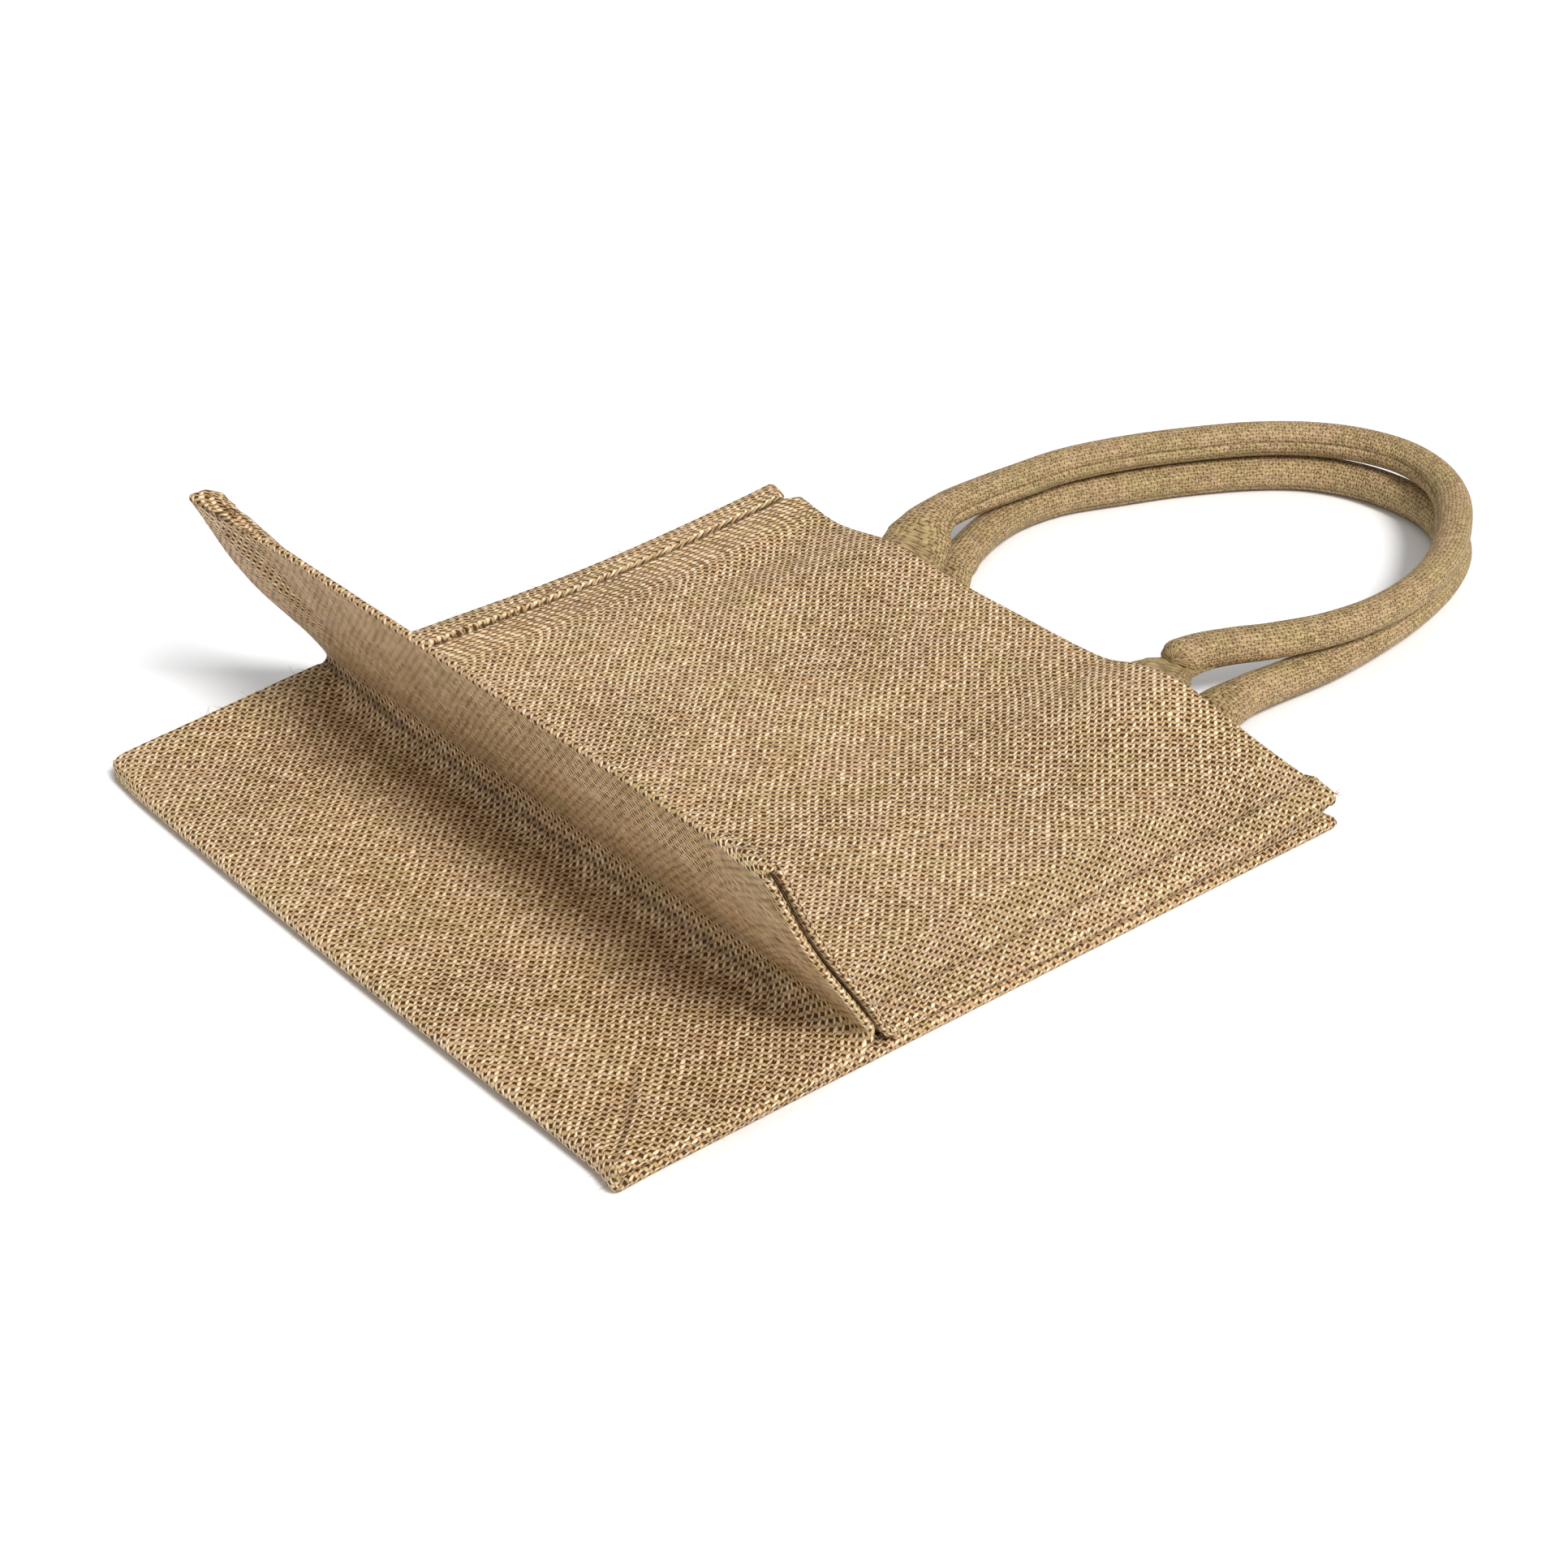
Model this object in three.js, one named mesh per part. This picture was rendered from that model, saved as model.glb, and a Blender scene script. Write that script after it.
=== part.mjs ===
// Jute tote bag with a boxed base. It lies on its front panel, folded flat at the sides, with the outer half of
// the base standing up as a flap. Millimetres. In the bag's own axes x runs from the bottom fold to the mouth,
// y from the near side seam to the far one, and z up from the surface that the bag lies on.
import * as THREE from "three";

// Bag sizes
const WIDTH = 292; // edge to edge across the side seams
const MOUTH = 300; // bottom fold to the lower mouth edge
const UPPER_MOUTH = 301.5; // the upper mouth edge lies a little further out
const GUSSET_HALF = 92; // the gusset folds inward to this depth
const ORIGIN = [254.8, 144.8]; // middle of the footprint, in the bag's own axes

// Cloth and seams
const CLOTH = 1.1; // one layer
const HEM = 2.2; // the mouth hem is two layers
const HEM_DEPTH = 30;
const SEAM = 13; // width of the pinched side seam
const SEAM_LYING = 1.8; // turned-in seam edge, two pressed layers, along the lying panels
const SEAM_STANDING = 1.2; // the same, tighter, along the flap
const GUSSET_CLOTH = 1.0;
const GUSSET_SEAM = 1.2;
const GAP = 0.4; // between pieces that touch
const INNER_GAP = 0.8; // between a panel and the gusset wing inside the seam

// Handles
const WEBBING = 2.4; // thickness of the flat webbing
const SEWN_GAP = 0.5; // webbing to the curved hem
const RING_SIDES = 16;
const STEPS_PER_ROW = 2;

// Section corners, on the outer surface, at the near seam, inside the panel and at the far seam
const CORNERS = {
  fold: { near: [0, 8.5], mid: [0, 6.9], far: [0, 6.9], radius: [0, 0, 0] },
  foot: { near: [96.2, 8.4], mid: [96.5, 6.9], far: [95.0, 13.0], radius: [3, 9, 6] },
  crest: { near: [54.2, 82.8], mid: [55.4, 83.1], far: [45.2, 91.8], radius: [0, 0, 0] },
};
const BOW = { near: 2.0, mid: 1.2, far: 3.0 }; // the flap's outward curve at mid height

// Flap thickness, outer face to outer face
const FLAP_OPEN = 6.6; // where the seams or the gusset lie inside it
const FLAP_CLOSED = 3.0; // at the crest, between the gusset's corners
const FLAP_TIP = 9.5; // the far tip's seams spread apart
const CREST_RISE = 2.0;
const CREST_SLOPE = 0.6;
const RIGHT_FOOT_RADIUS = { near: 3, mid: 9, far: 7 };

// Top of the upper panel
const PANEL_START = 125; // where the panel runs free of the foot's curve
const UPPER_TOP = [
  { x: 100, near: 8.8, mid: 8.8, far: 13.2 },
  { x: 140, near: 8.8, mid: 10.4, far: 12.6 },
  { x: 200, near: 9.0, mid: 11.8, far: 12.3 },
  { x: 250, near: 10.4, mid: 13.7, far: 14.4 },
  { x: 302, near: 14.0, mid: 17.0, far: 18.8 },
];
const MOUTH_TOP = [
  { y: 0, z: 14.0 },
  { y: 16, z: 15.0 },
  { y: 40, z: 18.9 },
  { y: 70, z: 25.0 },
  { y: 90, z: 24.2 },
  { y: 108, z: 19.0 },
  { y: 124, z: 17.9 },
  { y: 150, z: 17.8 },
  { y: 190, z: 17.9 },
  { y: 222, z: 19.6 },
  { y: 254, z: 15.2 },
  { y: 276, z: 18.0 },
  { y: 292, z: 18.8 },
];
const MOUTH_REACH = 76; // how far in from the mouth its waves are felt

// How far the seam edges and the mouth edges stray from straight lines
const EDGE_REACH = 40;
const NEAR_EDGE = {
  lower: [{ at: 0, off: 0 }, { at: 20, off: 0.5 }, { at: 160, off: 0.5 }, { at: 300, off: -0.4 }],
  base: [{ at: 0, off: 1.5 }, { at: 18, off: -0.6 }, { at: 38, off: -2.6 }, { at: 62, off: -2.6 }, { at: 97, off: 0 }],
  upper: [{ at: 100, off: 1.6 }, { at: 130, off: 1.4 }, { at: 160, off: 0.2 }, { at: 230, off: 0.6 }, { at: 302, off: 0 }],
};
const FAR_EDGE = {
  base: [{ at: 0, off: -1.2 }, { at: 45, off: -0.3 }, { at: 75, off: 0.6 }, { at: 97, off: 0.6 }],
  upper: [{ at: 100, off: -0.8 }, { at: 200, off: -0.8 }, { at: 260, off: 0 }, { at: 302, off: 0 }],
};
const FAR_CORNER_RADIUS = 8;
const BOTTOM_EDGE = [
  { y: 0, off: -2.0 },
  { y: 11, off: -0.4 },
  { y: 60, off: -0.9 },
  { y: 150, off: -0.9 },
  { y: 220, off: 0 },
  { y: 270, off: 1.2 },
  { y: 292, off: 2.6 },
];
const BOTTOM_REACH = 24;
const LOWER_CORNER = 3.0; // the lower mouth's near corner is drawn out
const MOUTH_EDGE = [
  { y: 0, off: -0.8 },
  { y: 2, off: 0.8 },
  { y: 12, off: 2.8 },
  { y: 15, off: 0 },
  { y: 146, off: 0 },
  { y: 277, off: 0.6 },
  { y: 280, off: -3.6 },
  { y: 290, off: -1.6 },
  { y: 292, off: -3.0 },
];
const LIFT_REACH = 34; // the bottom fold stands a little off the surface
const LIFT = [
  { y: 0, z: 0 },
  { y: 12, z: 0.3 },
  { y: 40, z: 1.7 },
  { y: 90, z: 1.7 },
  { y: 150, z: 0.9 },
  { y: 230, z: 1.2 },
  { y: 292, z: 0.4 },
];
const FOLD_BULGE = 3.2; // how far the rounded bottom fold reaches beyond the panels

// Rows of the body cloth's grid along its length, and columns across it
const BODY_ROWS = [
  ["lower", [300, 298.5, 271, 269, 235, 200, 160, 125, 97, 75, 50, 28, 12]],
  ["fold", [0, 0.2, 0.4, 0.6, 0.8, 1]],
  ["base", [12, 28, 50, 75]],
  ["foot", [0, 1 / 6, 2 / 6, 0.5, 4 / 6, 5 / 6, 1]],
  ["left", [0.22, 0.36, 0.48, 0.6, 0.71, 0.8, 0.9, 1]],
  ["crest", [0.25, 0.5, 0.75]],
  ["right", [1, 0.9, 0.8, 0.71, 0.6, 0.48, 0.36, 0.22, 0.16, 0.1]],
  ["footRight", [0, 0.25, 0.5, 0.75, 1]],
  ["upper", [125, 160, 200, 235, 255, 269, 271, 286, 300, 301.5]],
];
const EDGE_COLUMNS = [0, 1.2, 12, 14, 24, 35, 46, 57, 66, 75, 84, 93, 103, 114];
const BODY_COLUMNS = [...EDGE_COLUMNS, 130, 146, 162, ...EDGE_COLUMNS.map((y) => WIDTH - y).reverse()];

// Gusset stations: share of the gusset's half depth, and where its four wings lie on the body cloth there
const CORNER_STATIONS = [
  { share: 0.125, lower: 12, base: ["base", 12], left: ["left", 0.9], right: ["right", 0.9] },
  { share: 0.21, lower: 20, base: ["base", 20], left: ["left", 0.8], right: ["right", 0.8] },
  { share: 0.29, lower: 28, base: ["base", 28], left: ["left", 0.71], right: ["right", 0.71] },
  { share: 0.405, lower: 39, base: ["base", 39], left: ["left", 0.6], right: ["right", 0.6] },
  { share: 0.52, lower: 50, base: ["base", 50], left: ["left", 0.48], right: ["right", 0.48] },
  { share: 0.645, lower: 62, base: ["base", 62], left: ["left", 0.36], right: ["right", 0.36] },
  { share: 0.78, lower: 75, base: ["base", 75], left: ["left", 0.22], right: ["right", 0.22] },
  { share: 0.87, lower: 82, base: ["foot", 0], left: ["foot", 1], right: ["right", 0.16] },
  { share: 0.93, lower: 85.5, base: ["foot", 1 / 6], left: ["foot", 5 / 6], right: ["right", 0.1] },
  { share: 0.975, lower: 89, base: ["foot", 2 / 6], left: ["foot", 4 / 6], right: ["footRight", 0] },
];
const FOOT_STATION = { lower: 92.5, base: ["foot", 0.5], right: ["footRight", 0.25] };
const OPEN_STATIONS = [
  { lower: 95.5, upper: ["footRight", 0.5] },
  { lower: 99, upper: ["footRight", 0.75] },
  { lower: 106, upper: ["footRight", 1] },
  ...[125, 160, 200, 235, 255, 269, 271, 286, 299].map((x) => ({ lower: x, upper: ["upper", x] })),
];
const WING_COLUMNS = 6;
const CREASE_STEPS = 4;
const CREASE_BULGE = 1.8;

// Room for the handle ends between the hems and the gusset wings
const WEBBING_ROOM = { depth: 2.4, x: [236, 266], y: [18, 38] };

// Handle routes: centre, half width and half height of the section, round or flat, sewn rows follow the hem
const LOWER_HANDLE = [
  { x: 273, y: 207, z: 3.8, wide: 17, high: 1.2, flat: 1 },
  { x: 288, y: 207, z: 3.8, wide: 17, high: 1.2, flat: 1 },
  { x: 303, y: 207, z: 3.9, wide: 16.5, high: 1.3, flat: 1 },
  { x: 313, y: 208.5, z: 4.4, wide: 13.5, high: 2.8, flat: 0.5 },
  { x: 323, y: 211.5, z: 6, wide: 9, high: 5.4, flat: 0 },
  { x: 336, y: 217, z: 7, wide: 7.2, high: 6.7, flat: 0 },
  { x: 352, y: 223.5, z: 7, wide: 7, high: 6.8, flat: 0 },
  { x: 371, y: 228, z: 7, wide: 7, high: 6.8, flat: 0 },
  { x: 394, y: 227, z: 7, wide: 7, high: 6.8, flat: 0 },
  { x: 420, y: 218, z: 7, wide: 7, high: 6.8, flat: 0 },
  { x: 446, y: 207.5, z: 7, wide: 7, high: 6.8, flat: 0 },
  { x: 472, y: 193, z: 7, wide: 7, high: 6.8, flat: 0 },
  { x: 488, y: 179, z: 7, wide: 7, high: 6.8, flat: 0 },
  { x: 497, y: 163, z: 7, wide: 7, high: 6.8, flat: 0 },
  { x: 500.5, y: 146, z: 7, wide: 7, high: 6.8, flat: 0 },
  { x: 499, y: 128, z: 7, wide: 7, high: 6.8, flat: 0 },
  { x: 491, y: 110.6, z: 7, wide: 7, high: 6.8, flat: 0 },
  { x: 476.8, y: 95.4, z: 7, wide: 7, high: 6.8, flat: 0 },
  { x: 454, y: 83.4, z: 7, wide: 7, high: 6.8, flat: 0 },
  { x: 427.8, y: 75.8, z: 7, wide: 7, high: 6.8, flat: 0 },
  { x: 400, y: 71.6, z: 7, wide: 7, high: 6.8, flat: 0 },
  { x: 375, y: 70, z: 7, wide: 7, high: 6.8, flat: 0 },
  { x: 353, y: 71, z: 7.2, wide: 7, high: 6.9, flat: 0 },
  { x: 337, y: 71.8, z: 7.4, wide: 7.6, high: 6.9, flat: 0 },
  { x: 323, y: 72, z: 6.6, wide: 10.2, high: 5.8, flat: 0 },
  { x: 313, y: 71.5, z: 4.8, wide: 14, high: 3, flat: 0.5 },
  { x: 303, y: 71, z: 3.9, wide: 16.5, high: 1.3, flat: 1 },
  { x: 288, y: 71, z: 3.8, wide: 17, high: 1.2, flat: 1 },
  { x: 273, y: 71, z: 3.8, wide: 17, high: 1.2, flat: 1 },
];
const UPPER_HANDLE = [
  { x: 273, y: 215, z: 0, wide: 17, high: 1.2, flat: 1, sewn: true },
  { x: 288, y: 215, z: 0, wide: 17, high: 1.2, flat: 1, sewn: true },
  { x: 303, y: 215.5, z: 0, wide: 17, high: 1.2, flat: 1, sewn: true },
  { x: 307, y: 217, z: 16.4, wide: 16.5, high: 1.5, flat: 0.9 },
  { x: 313, y: 220.5, z: 17.8, wide: 14.4, high: 2.4, flat: 0.6 },
  { x: 321, y: 225, z: 19.6, wide: 10.4, high: 4.6, flat: 0.1 },
  { x: 333, y: 227.2, z: 20.8, wide: 7.8, high: 6.6, flat: 0 },
  { x: 352, y: 228, z: 21, wide: 7, high: 6.8, flat: 0 },
  { x: 372, y: 227.4, z: 21, wide: 7, high: 6.8, flat: 0 },
  { x: 393.8, y: 226.1, z: 21, wide: 7, high: 6.8, flat: 0 },
  { x: 419.2, y: 219.6, z: 21, wide: 7, high: 6.8, flat: 0 },
  { x: 446, y: 208.6, z: 21, wide: 7, high: 6.8, flat: 0 },
  { x: 472.4, y: 194.2, z: 21, wide: 7, high: 6.8, flat: 0 },
  { x: 489, y: 180, z: 21, wide: 7, high: 6.8, flat: 0 },
  { x: 499.5, y: 164.6, z: 21, wide: 7, high: 6.8, flat: 0 },
  { x: 504.5, y: 146, z: 21, wide: 7, high: 6.8, flat: 0 },
  { x: 501.3, y: 127.6, z: 21, wide: 7, high: 6.8, flat: 0 },
  { x: 490.3, y: 109.6, z: 21, wide: 7, high: 6.8, flat: 0 },
  { x: 472.5, y: 93.6, z: 21, wide: 6.8, high: 6.6, flat: 0 },
  { x: 451, y: 80, z: 20.8, wide: 6.5, high: 6.3, flat: 0 },
  { x: 426.5, y: 70.9, z: 20.6, wide: 6.3, high: 6.2, flat: 0 },
  { x: 400, y: 67.8, z: 20.4, wide: 6.2, high: 6.1, flat: 0 },
  { x: 376, y: 70.2, z: 20.5, wide: 6.4, high: 6.2, flat: 0 },
  { x: 354, y: 76.8, z: 20.7, wide: 6.8, high: 6.5, flat: 0 },
  { x: 339, y: 84, z: 20.6, wide: 7, high: 6.6, flat: 0 },
  { x: 328, y: 90, z: 19.8, wide: 7.6, high: 6.2, flat: 0 },
  { x: 320, y: 93, z: 18.6, wide: 9.2, high: 4.6, flat: 0.1 },
  { x: 313, y: 90.4, z: 18.6, wide: 13, high: 2.4, flat: 0.6 },
  { x: 307, y: 88.6, z: 19.6, wide: 15.4, high: 1.5, flat: 0.9 },
  { x: 303, y: 88, z: 0, wide: 16, high: 1.2, flat: 1, sewn: true },
  { x: 288, y: 88, z: 0, wide: 17, high: 1.2, flat: 1, sewn: true },
  { x: 273, y: 88, z: 0, wide: 17, high: 1.2, flat: 1, sewn: true },
];

// Number helpers
function smooth(from, to, value) {
  const t = THREE.MathUtils.clamp((value - from) / (to - from), 0, 1);
  return t * t * (3 - 2 * t);
}

// A value given at the near seam, inside the panel and at the far seam
function across(row, y, ease = 34) {
  const inner = smooth(0, ease, y) * smooth(0, ease, WIDTH - y);
  const edge = THREE.MathUtils.lerp(row.near, row.far, y / WIDTH);
  return THREE.MathUtils.lerp(edge, row.mid, inner);
}

// A smooth line through the rows of a table
function curve(rows, key, value, at) {
  const last = rows.length - 1;
  const slope = (i) => {
    const a = rows[Math.max(i - 1, 0)];
    const b = rows[Math.min(i + 1, last)];
    return (b[value] - a[value]) / (b[key] - a[key]);
  };
  if (at <= rows[0][key]) return rows[0][value];
  if (at >= rows[last][key]) return rows[last][value];
  const i = rows.findIndex((row) => row[key] > at) - 1;
  const span = rows[i + 1][key] - rows[i][key];
  const t = (at - rows[i][key]) / span;
  const bend = t * t * (3 - 2 * t);
  return (
    rows[i][value] * (1 - bend) +
    rows[i + 1][value] * bend +
    span * (t * (1 - t) ** 2 * slope(i) - t * t * (1 - t) * slope(i + 1))
  );
}

function cornerAt(name, y) {
  const { near, mid, far } = CORNERS[name];
  return [0, 1].map((k) => across({ near: near[k], mid: mid[k], far: far[k] }, y));
}

function radiusAt(name, y) {
  const [near, mid, far] = CORNERS[name].radius;
  return across({ near, mid, far }, y);
}

// Height of the upper panel's top
function upperTop(x, y) {
  const at = (place) => ({
    near: curve(UPPER_TOP, "x", "near", place),
    mid: curve(UPPER_TOP, "x", "mid", place),
    far: curve(UPPER_TOP, "x", "far", place),
  });
  const wave = curve(MOUTH_TOP, "y", "z", y) - across(at(UPPER_MOUTH), y);
  return across(at(x), y) + wave * smooth(UPPER_MOUTH - MOUTH_REACH, UPPER_MOUTH, x);
}

function foldLift(x, y) {
  return curve(LIFT, "y", "z", y) * (1 - smooth(0, LIFT_REACH, x));
}

// The flap's left face: its line from the foot to the crest, and the direction off it to the right
function flapLine(y) {
  const foot = cornerAt("foot", y);
  const crest = cornerAt("crest", y);
  const length = Math.hypot(crest[0] - foot[0], crest[1] - foot[1]);
  const along = [(crest[0] - foot[0]) / length, (crest[1] - foot[1]) / length];
  return { foot, length, along, right: [along[1], -along[0]] };
}

function flapLeft(height, y) {
  const { foot, length, along, right } = flapLine(y);
  const bow = across(BOW, y) * smooth(0.1, 0.55, height) * (1 - smooth(0.6, 1.05, height));
  return [0, 1].map((k) => foot[k] + along[k] * height * length - right[k] * bow);
}

function flapThickness(height, y) {
  const { length } = flapLine(y);
  const fromEnd = Math.min(y, WIDTH - y);
  const inside = smooth(-14 - 24 * (1 - height), 2, (1 - height) * length + 16 - fromEnd);
  const tip = THREE.MathUtils.clamp((y - WIDTH + 12) / 12, 0, 1) * smooth(0.7, 1, height);
  const open = THREE.MathUtils.lerp(FLAP_CLOSED, FLAP_OPEN, inside);
  return open + (FLAP_TIP - FLAP_OPEN) * tip;
}

// Where the crest is wide, its right side lies lower than its left one
function crestDrop(y) {
  return CREST_SLOPE * (flapThickness(1, y) - FLAP_CLOSED);
}

function flapRight(height, y) {
  const left = flapLeft(height, y);
  const { along, right } = flapLine(y);
  const thick = flapThickness(height, y);
  const drop = crestDrop(y) * smooth(0.4, 1, height);
  return [0, 1].map((k) => left[k] + right[k] * thick - along[k] * drop);
}

// A point on the rounded corner between two straight stretches, share 0 to 1 along its arc
function roundedCorner(before, corner, after, radius, share) {
  const unit = (a, b) => {
    const length = Math.hypot(b[0] - a[0], b[1] - a[1]);
    return [(b[0] - a[0]) / length, (b[1] - a[1]) / length];
  };
  const into = unit(before, corner);
  const out = unit(corner, after);
  const cross = into[0] * out[1] - into[1] * out[0];
  const turn = Math.atan2(cross, into[0] * out[0] + into[1] * out[1]);
  const reach = radius * Math.tan(Math.abs(turn) / 2);
  const side = Math.sign(turn);
  const start = [corner[0] - into[0] * reach, corner[1] - into[1] * reach];
  const centre = [start[0] - into[1] * radius * side, start[1] + into[0] * radius * side];
  const angle = turn * share;
  const arm = [start[0] - centre[0], start[1] - centre[1]];
  return [
    centre[0] + arm[0] * Math.cos(angle) - arm[1] * Math.sin(angle),
    centre[1] + arm[0] * Math.sin(angle) + arm[1] * Math.cos(angle),
  ];
}

// The outer surface in the x-z plane at one y, stretch by stretch
const STRETCHES = {
  lower: (x, y) => [x, foldLift(x, y)],
  fold: (share, y) => {
    const [x, top] = cornerAt("fold", y);
    const lift = foldLift(0, y);
    const half = (top - lift) / 2;
    const angle = -Math.PI / 2 - Math.PI * share;
    return [x + FOLD_BULGE * (1 + Math.cos(angle)), lift + half * (1 + Math.sin(angle))];
  },
  base: (x, y) => {
    const from = cornerAt("fold", y);
    const to = cornerAt("foot", y);
    return [x, THREE.MathUtils.lerp(from[1], to[1], (x - from[0]) / (to[0] - from[0]))];
  },
  foot: (share, y) => roundedCorner(cornerAt("fold", y), cornerAt("foot", y), cornerAt("crest", y), radiusAt("foot", y), share),
  left: (height, y) => flapLeft(height, y),
  crest: (share, y) => {
    const { along, right } = flapLine(y);
    const left = flapLeft(1, y);
    const half = flapThickness(1, y) / 2;
    const rise = Math.min(half, CREST_RISE);
    const angle = Math.PI * share;
    const over = (1 - Math.cos(angle)) / 2;
    const lift = rise * Math.sin(angle) - crestDrop(y) * over;
    return [0, 1].map((k) => left[k] + right[k] * 2 * half * over + along[k] * lift);
  },
  right: (height, y) => flapRight(height, y),
  footRight: (share, y) => {
    const high = flapRight(0.3, y);
    const low = flapRight(0.1, y);
    const after = [PANEL_START, upperTop(PANEL_START, y)];
    const slope = (high[0] - low[0]) / (high[1] - low[1]);
    const z = upperTop(high[0] + 25, y);
    const corner = [low[0] + slope * (z - low[1]), z];
    return roundedCorner(high, corner, after, across(RIGHT_FOOT_RADIUS, y), share);
  },
  upper: (x, y) => [x, upperTop(x, y)],
};

// How the side edges stray, and the rounded far corner at the bottom fold
function edgeShift(stretch, x, y) {
  const near = NEAR_EDGE[stretch] ? curve(NEAR_EDGE[stretch], "at", "off", x) : 0;
  const far = FAR_EDGE[stretch] ? curve(FAR_EDGE[stretch], "at", "off", x) : 0;
  const inCorner = stretch === "fold" || ((stretch === "lower" || stretch === "base") && x < FAR_CORNER_RADIUS);
  const short = FAR_CORNER_RADIUS - Math.max(x, 0);
  const corner = inCorner ? Math.sqrt(Math.max(FAR_CORNER_RADIUS ** 2 - short ** 2, 0)) - FAR_CORNER_RADIUS : 0;
  return near * (1 - smooth(0, EDGE_REACH, y)) + (far + corner) * smooth(WIDTH - EDGE_REACH, WIDTH, y);
}

function alongShift(stretch, x, y) {
  const bottom = curve(BOTTOM_EDGE, "y", "off", y) * (1 - smooth(0, BOTTOM_REACH, x));
  if (stretch === "fold" || stretch === "base") return bottom;
  if (stretch !== "lower" && stretch !== "upper") return 0;
  const end = stretch === "lower" ? MOUTH : UPPER_MOUTH;
  const drawn = stretch === "lower" ? LOWER_CORNER * (1 - smooth(0, 10, y)) : 0;
  const row = MOUTH_EDGE.findIndex((entry) => entry.y >= y);
  const before = MOUTH_EDGE[Math.max(row - 1, 0)];
  const after = MOUTH_EDGE[row < 0 ? MOUTH_EDGE.length - 1 : row];
  const share = after.y > before.y ? (y - before.y) / (after.y - before.y) : 0;
  const mouth = THREE.MathUtils.lerp(before.off, after.off, share) + drawn;
  return mouth * smooth(end - 14, end, x) + (stretch === "lower" ? bottom : 0);
}

function outer(stretch, along, y) {
  const [x, z] = STRETCHES[stretch](along, y);
  return new THREE.Vector3(x + alongShift(stretch, x, y), y + edgeShift(stretch, x, y), z);
}

// Direction out of the cloth at a point of its outer surface
function outward(stretch, along, y) {
  const step = stretch === "lower" || stretch === "base" || stretch === "upper" ? 0.5 : 0.02;
  const turned = stretch === "lower" || stretch === "right" ? -1 : 1;
  const cap = stretch === "upper" ? UPPER_MOUTH : stretch === "lower" ? MOUTH : Infinity;
  const ahead = Math.min(along + step, cap);
  const u = outer(stretch, ahead, y).sub(outer(stretch, along - step, y)).multiplyScalar(turned);
  const v = outer(stretch, along, Math.min(y + 1, WIDTH)).sub(outer(stretch, along, Math.max(y - 1, 0)));
  return u.cross(v).normalize();
}

// Thickness of the body cloth, and of the gusset cloth
function bodyThickness(stretch, along, y) {
  const standing = stretch === "left" || stretch === "crest" || stretch === "right";
  const inSeam = Math.min(y, WIDTH - y) < SEAM;
  const inHem = (stretch === "lower" && along > MOUTH - HEM_DEPTH) || (stretch === "upper" && along > UPPER_MOUTH - HEM_DEPTH - 1.5);
  const seam = inSeam ? (standing ? SEAM_STANDING : SEAM_LYING) : CLOTH;
  return inHem ? HEM : seam;
}

// A closed solid from a sheet of points: faces point out, and each point has its own thickness inward
function sheetSolid(points, faces, inset) {
  const normals = points.map(() => new THREE.Vector3());
  const edges = new Map();
  for (const [a, b, c] of faces) {
    const normal = points[b].clone().sub(points[a]).cross(points[c].clone().sub(points[a])).normalize();
    for (const [i, j, k] of [[a, b, c], [b, c, a], [c, a, b]]) {
      const angle = points[j].clone().sub(points[i]).angleTo(points[k].clone().sub(points[i]));
      normals[i].addScaledVector(normal, angle);
      const back = `${j},${i}`;
      if (edges.has(back)) edges.delete(back);
      else edges.set(`${i},${j}`, [i, j]);
    }
  }
  const count = points.length;
  const position = new Float32Array(count * 6);
  points.forEach((point, i) => {
    const inner = point.clone().addScaledVector(normals[i].normalize(), -inset[i]);
    position.set([point.x, point.y, point.z], i * 3);
    position.set([inner.x, inner.y, inner.z], (count + i) * 3);
  });
  const index = [];
  for (const [a, b, c] of faces) index.push(a, b, c, count + a, count + c, count + b);
  for (const [i, j] of edges.values()) index.push(j, i, count + i, j, count + i, count + j);
  return new THREE.BufferGeometry()
    .setAttribute("position", new THREE.BufferAttribute(position, 3))
    .setIndex(index);
}

// A sheet made of strips between rows of points, each strip named by its two rows
class Sheet {
  points = [];
  inset = [];
  faces = [];

  add(point, inset) {
    this.points.push(point);
    this.inset.push(inset);
    return this.points.length - 1;
  }

  strip(rowA, rowB, flip = false) {
    for (let k = 0; k + 1 < rowA.length; k++) {
      this.triangle(rowA[k], rowB[k], rowB[k + 1], flip);
      this.triangle(rowA[k], rowB[k + 1], rowA[k + 1], flip);
    }
  }

  triangle(a, b, c, flip) {
    if (a === b || b === c || a === c) return;
    this.faces.push(flip ? [a, c, b] : [a, b, c]);
  }

  solid() {
    return sheetSolid(this.points, this.faces, this.inset);
  }
}

function bodyCloth() {
  const sheet = new Sheet();
  const rows = [];
  for (const [stretch, stations] of BODY_ROWS) {
    for (const along of stations) {
      rows.push(BODY_COLUMNS.map((y) => sheet.add(outer(stretch, along, y), bodyThickness(stretch, along, y))));
    }
  }
  for (let i = 0; i + 1 < rows.length; i++) sheet.strip(rows[i], rows[i + 1]);
  return sheet.solid();
}

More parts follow.
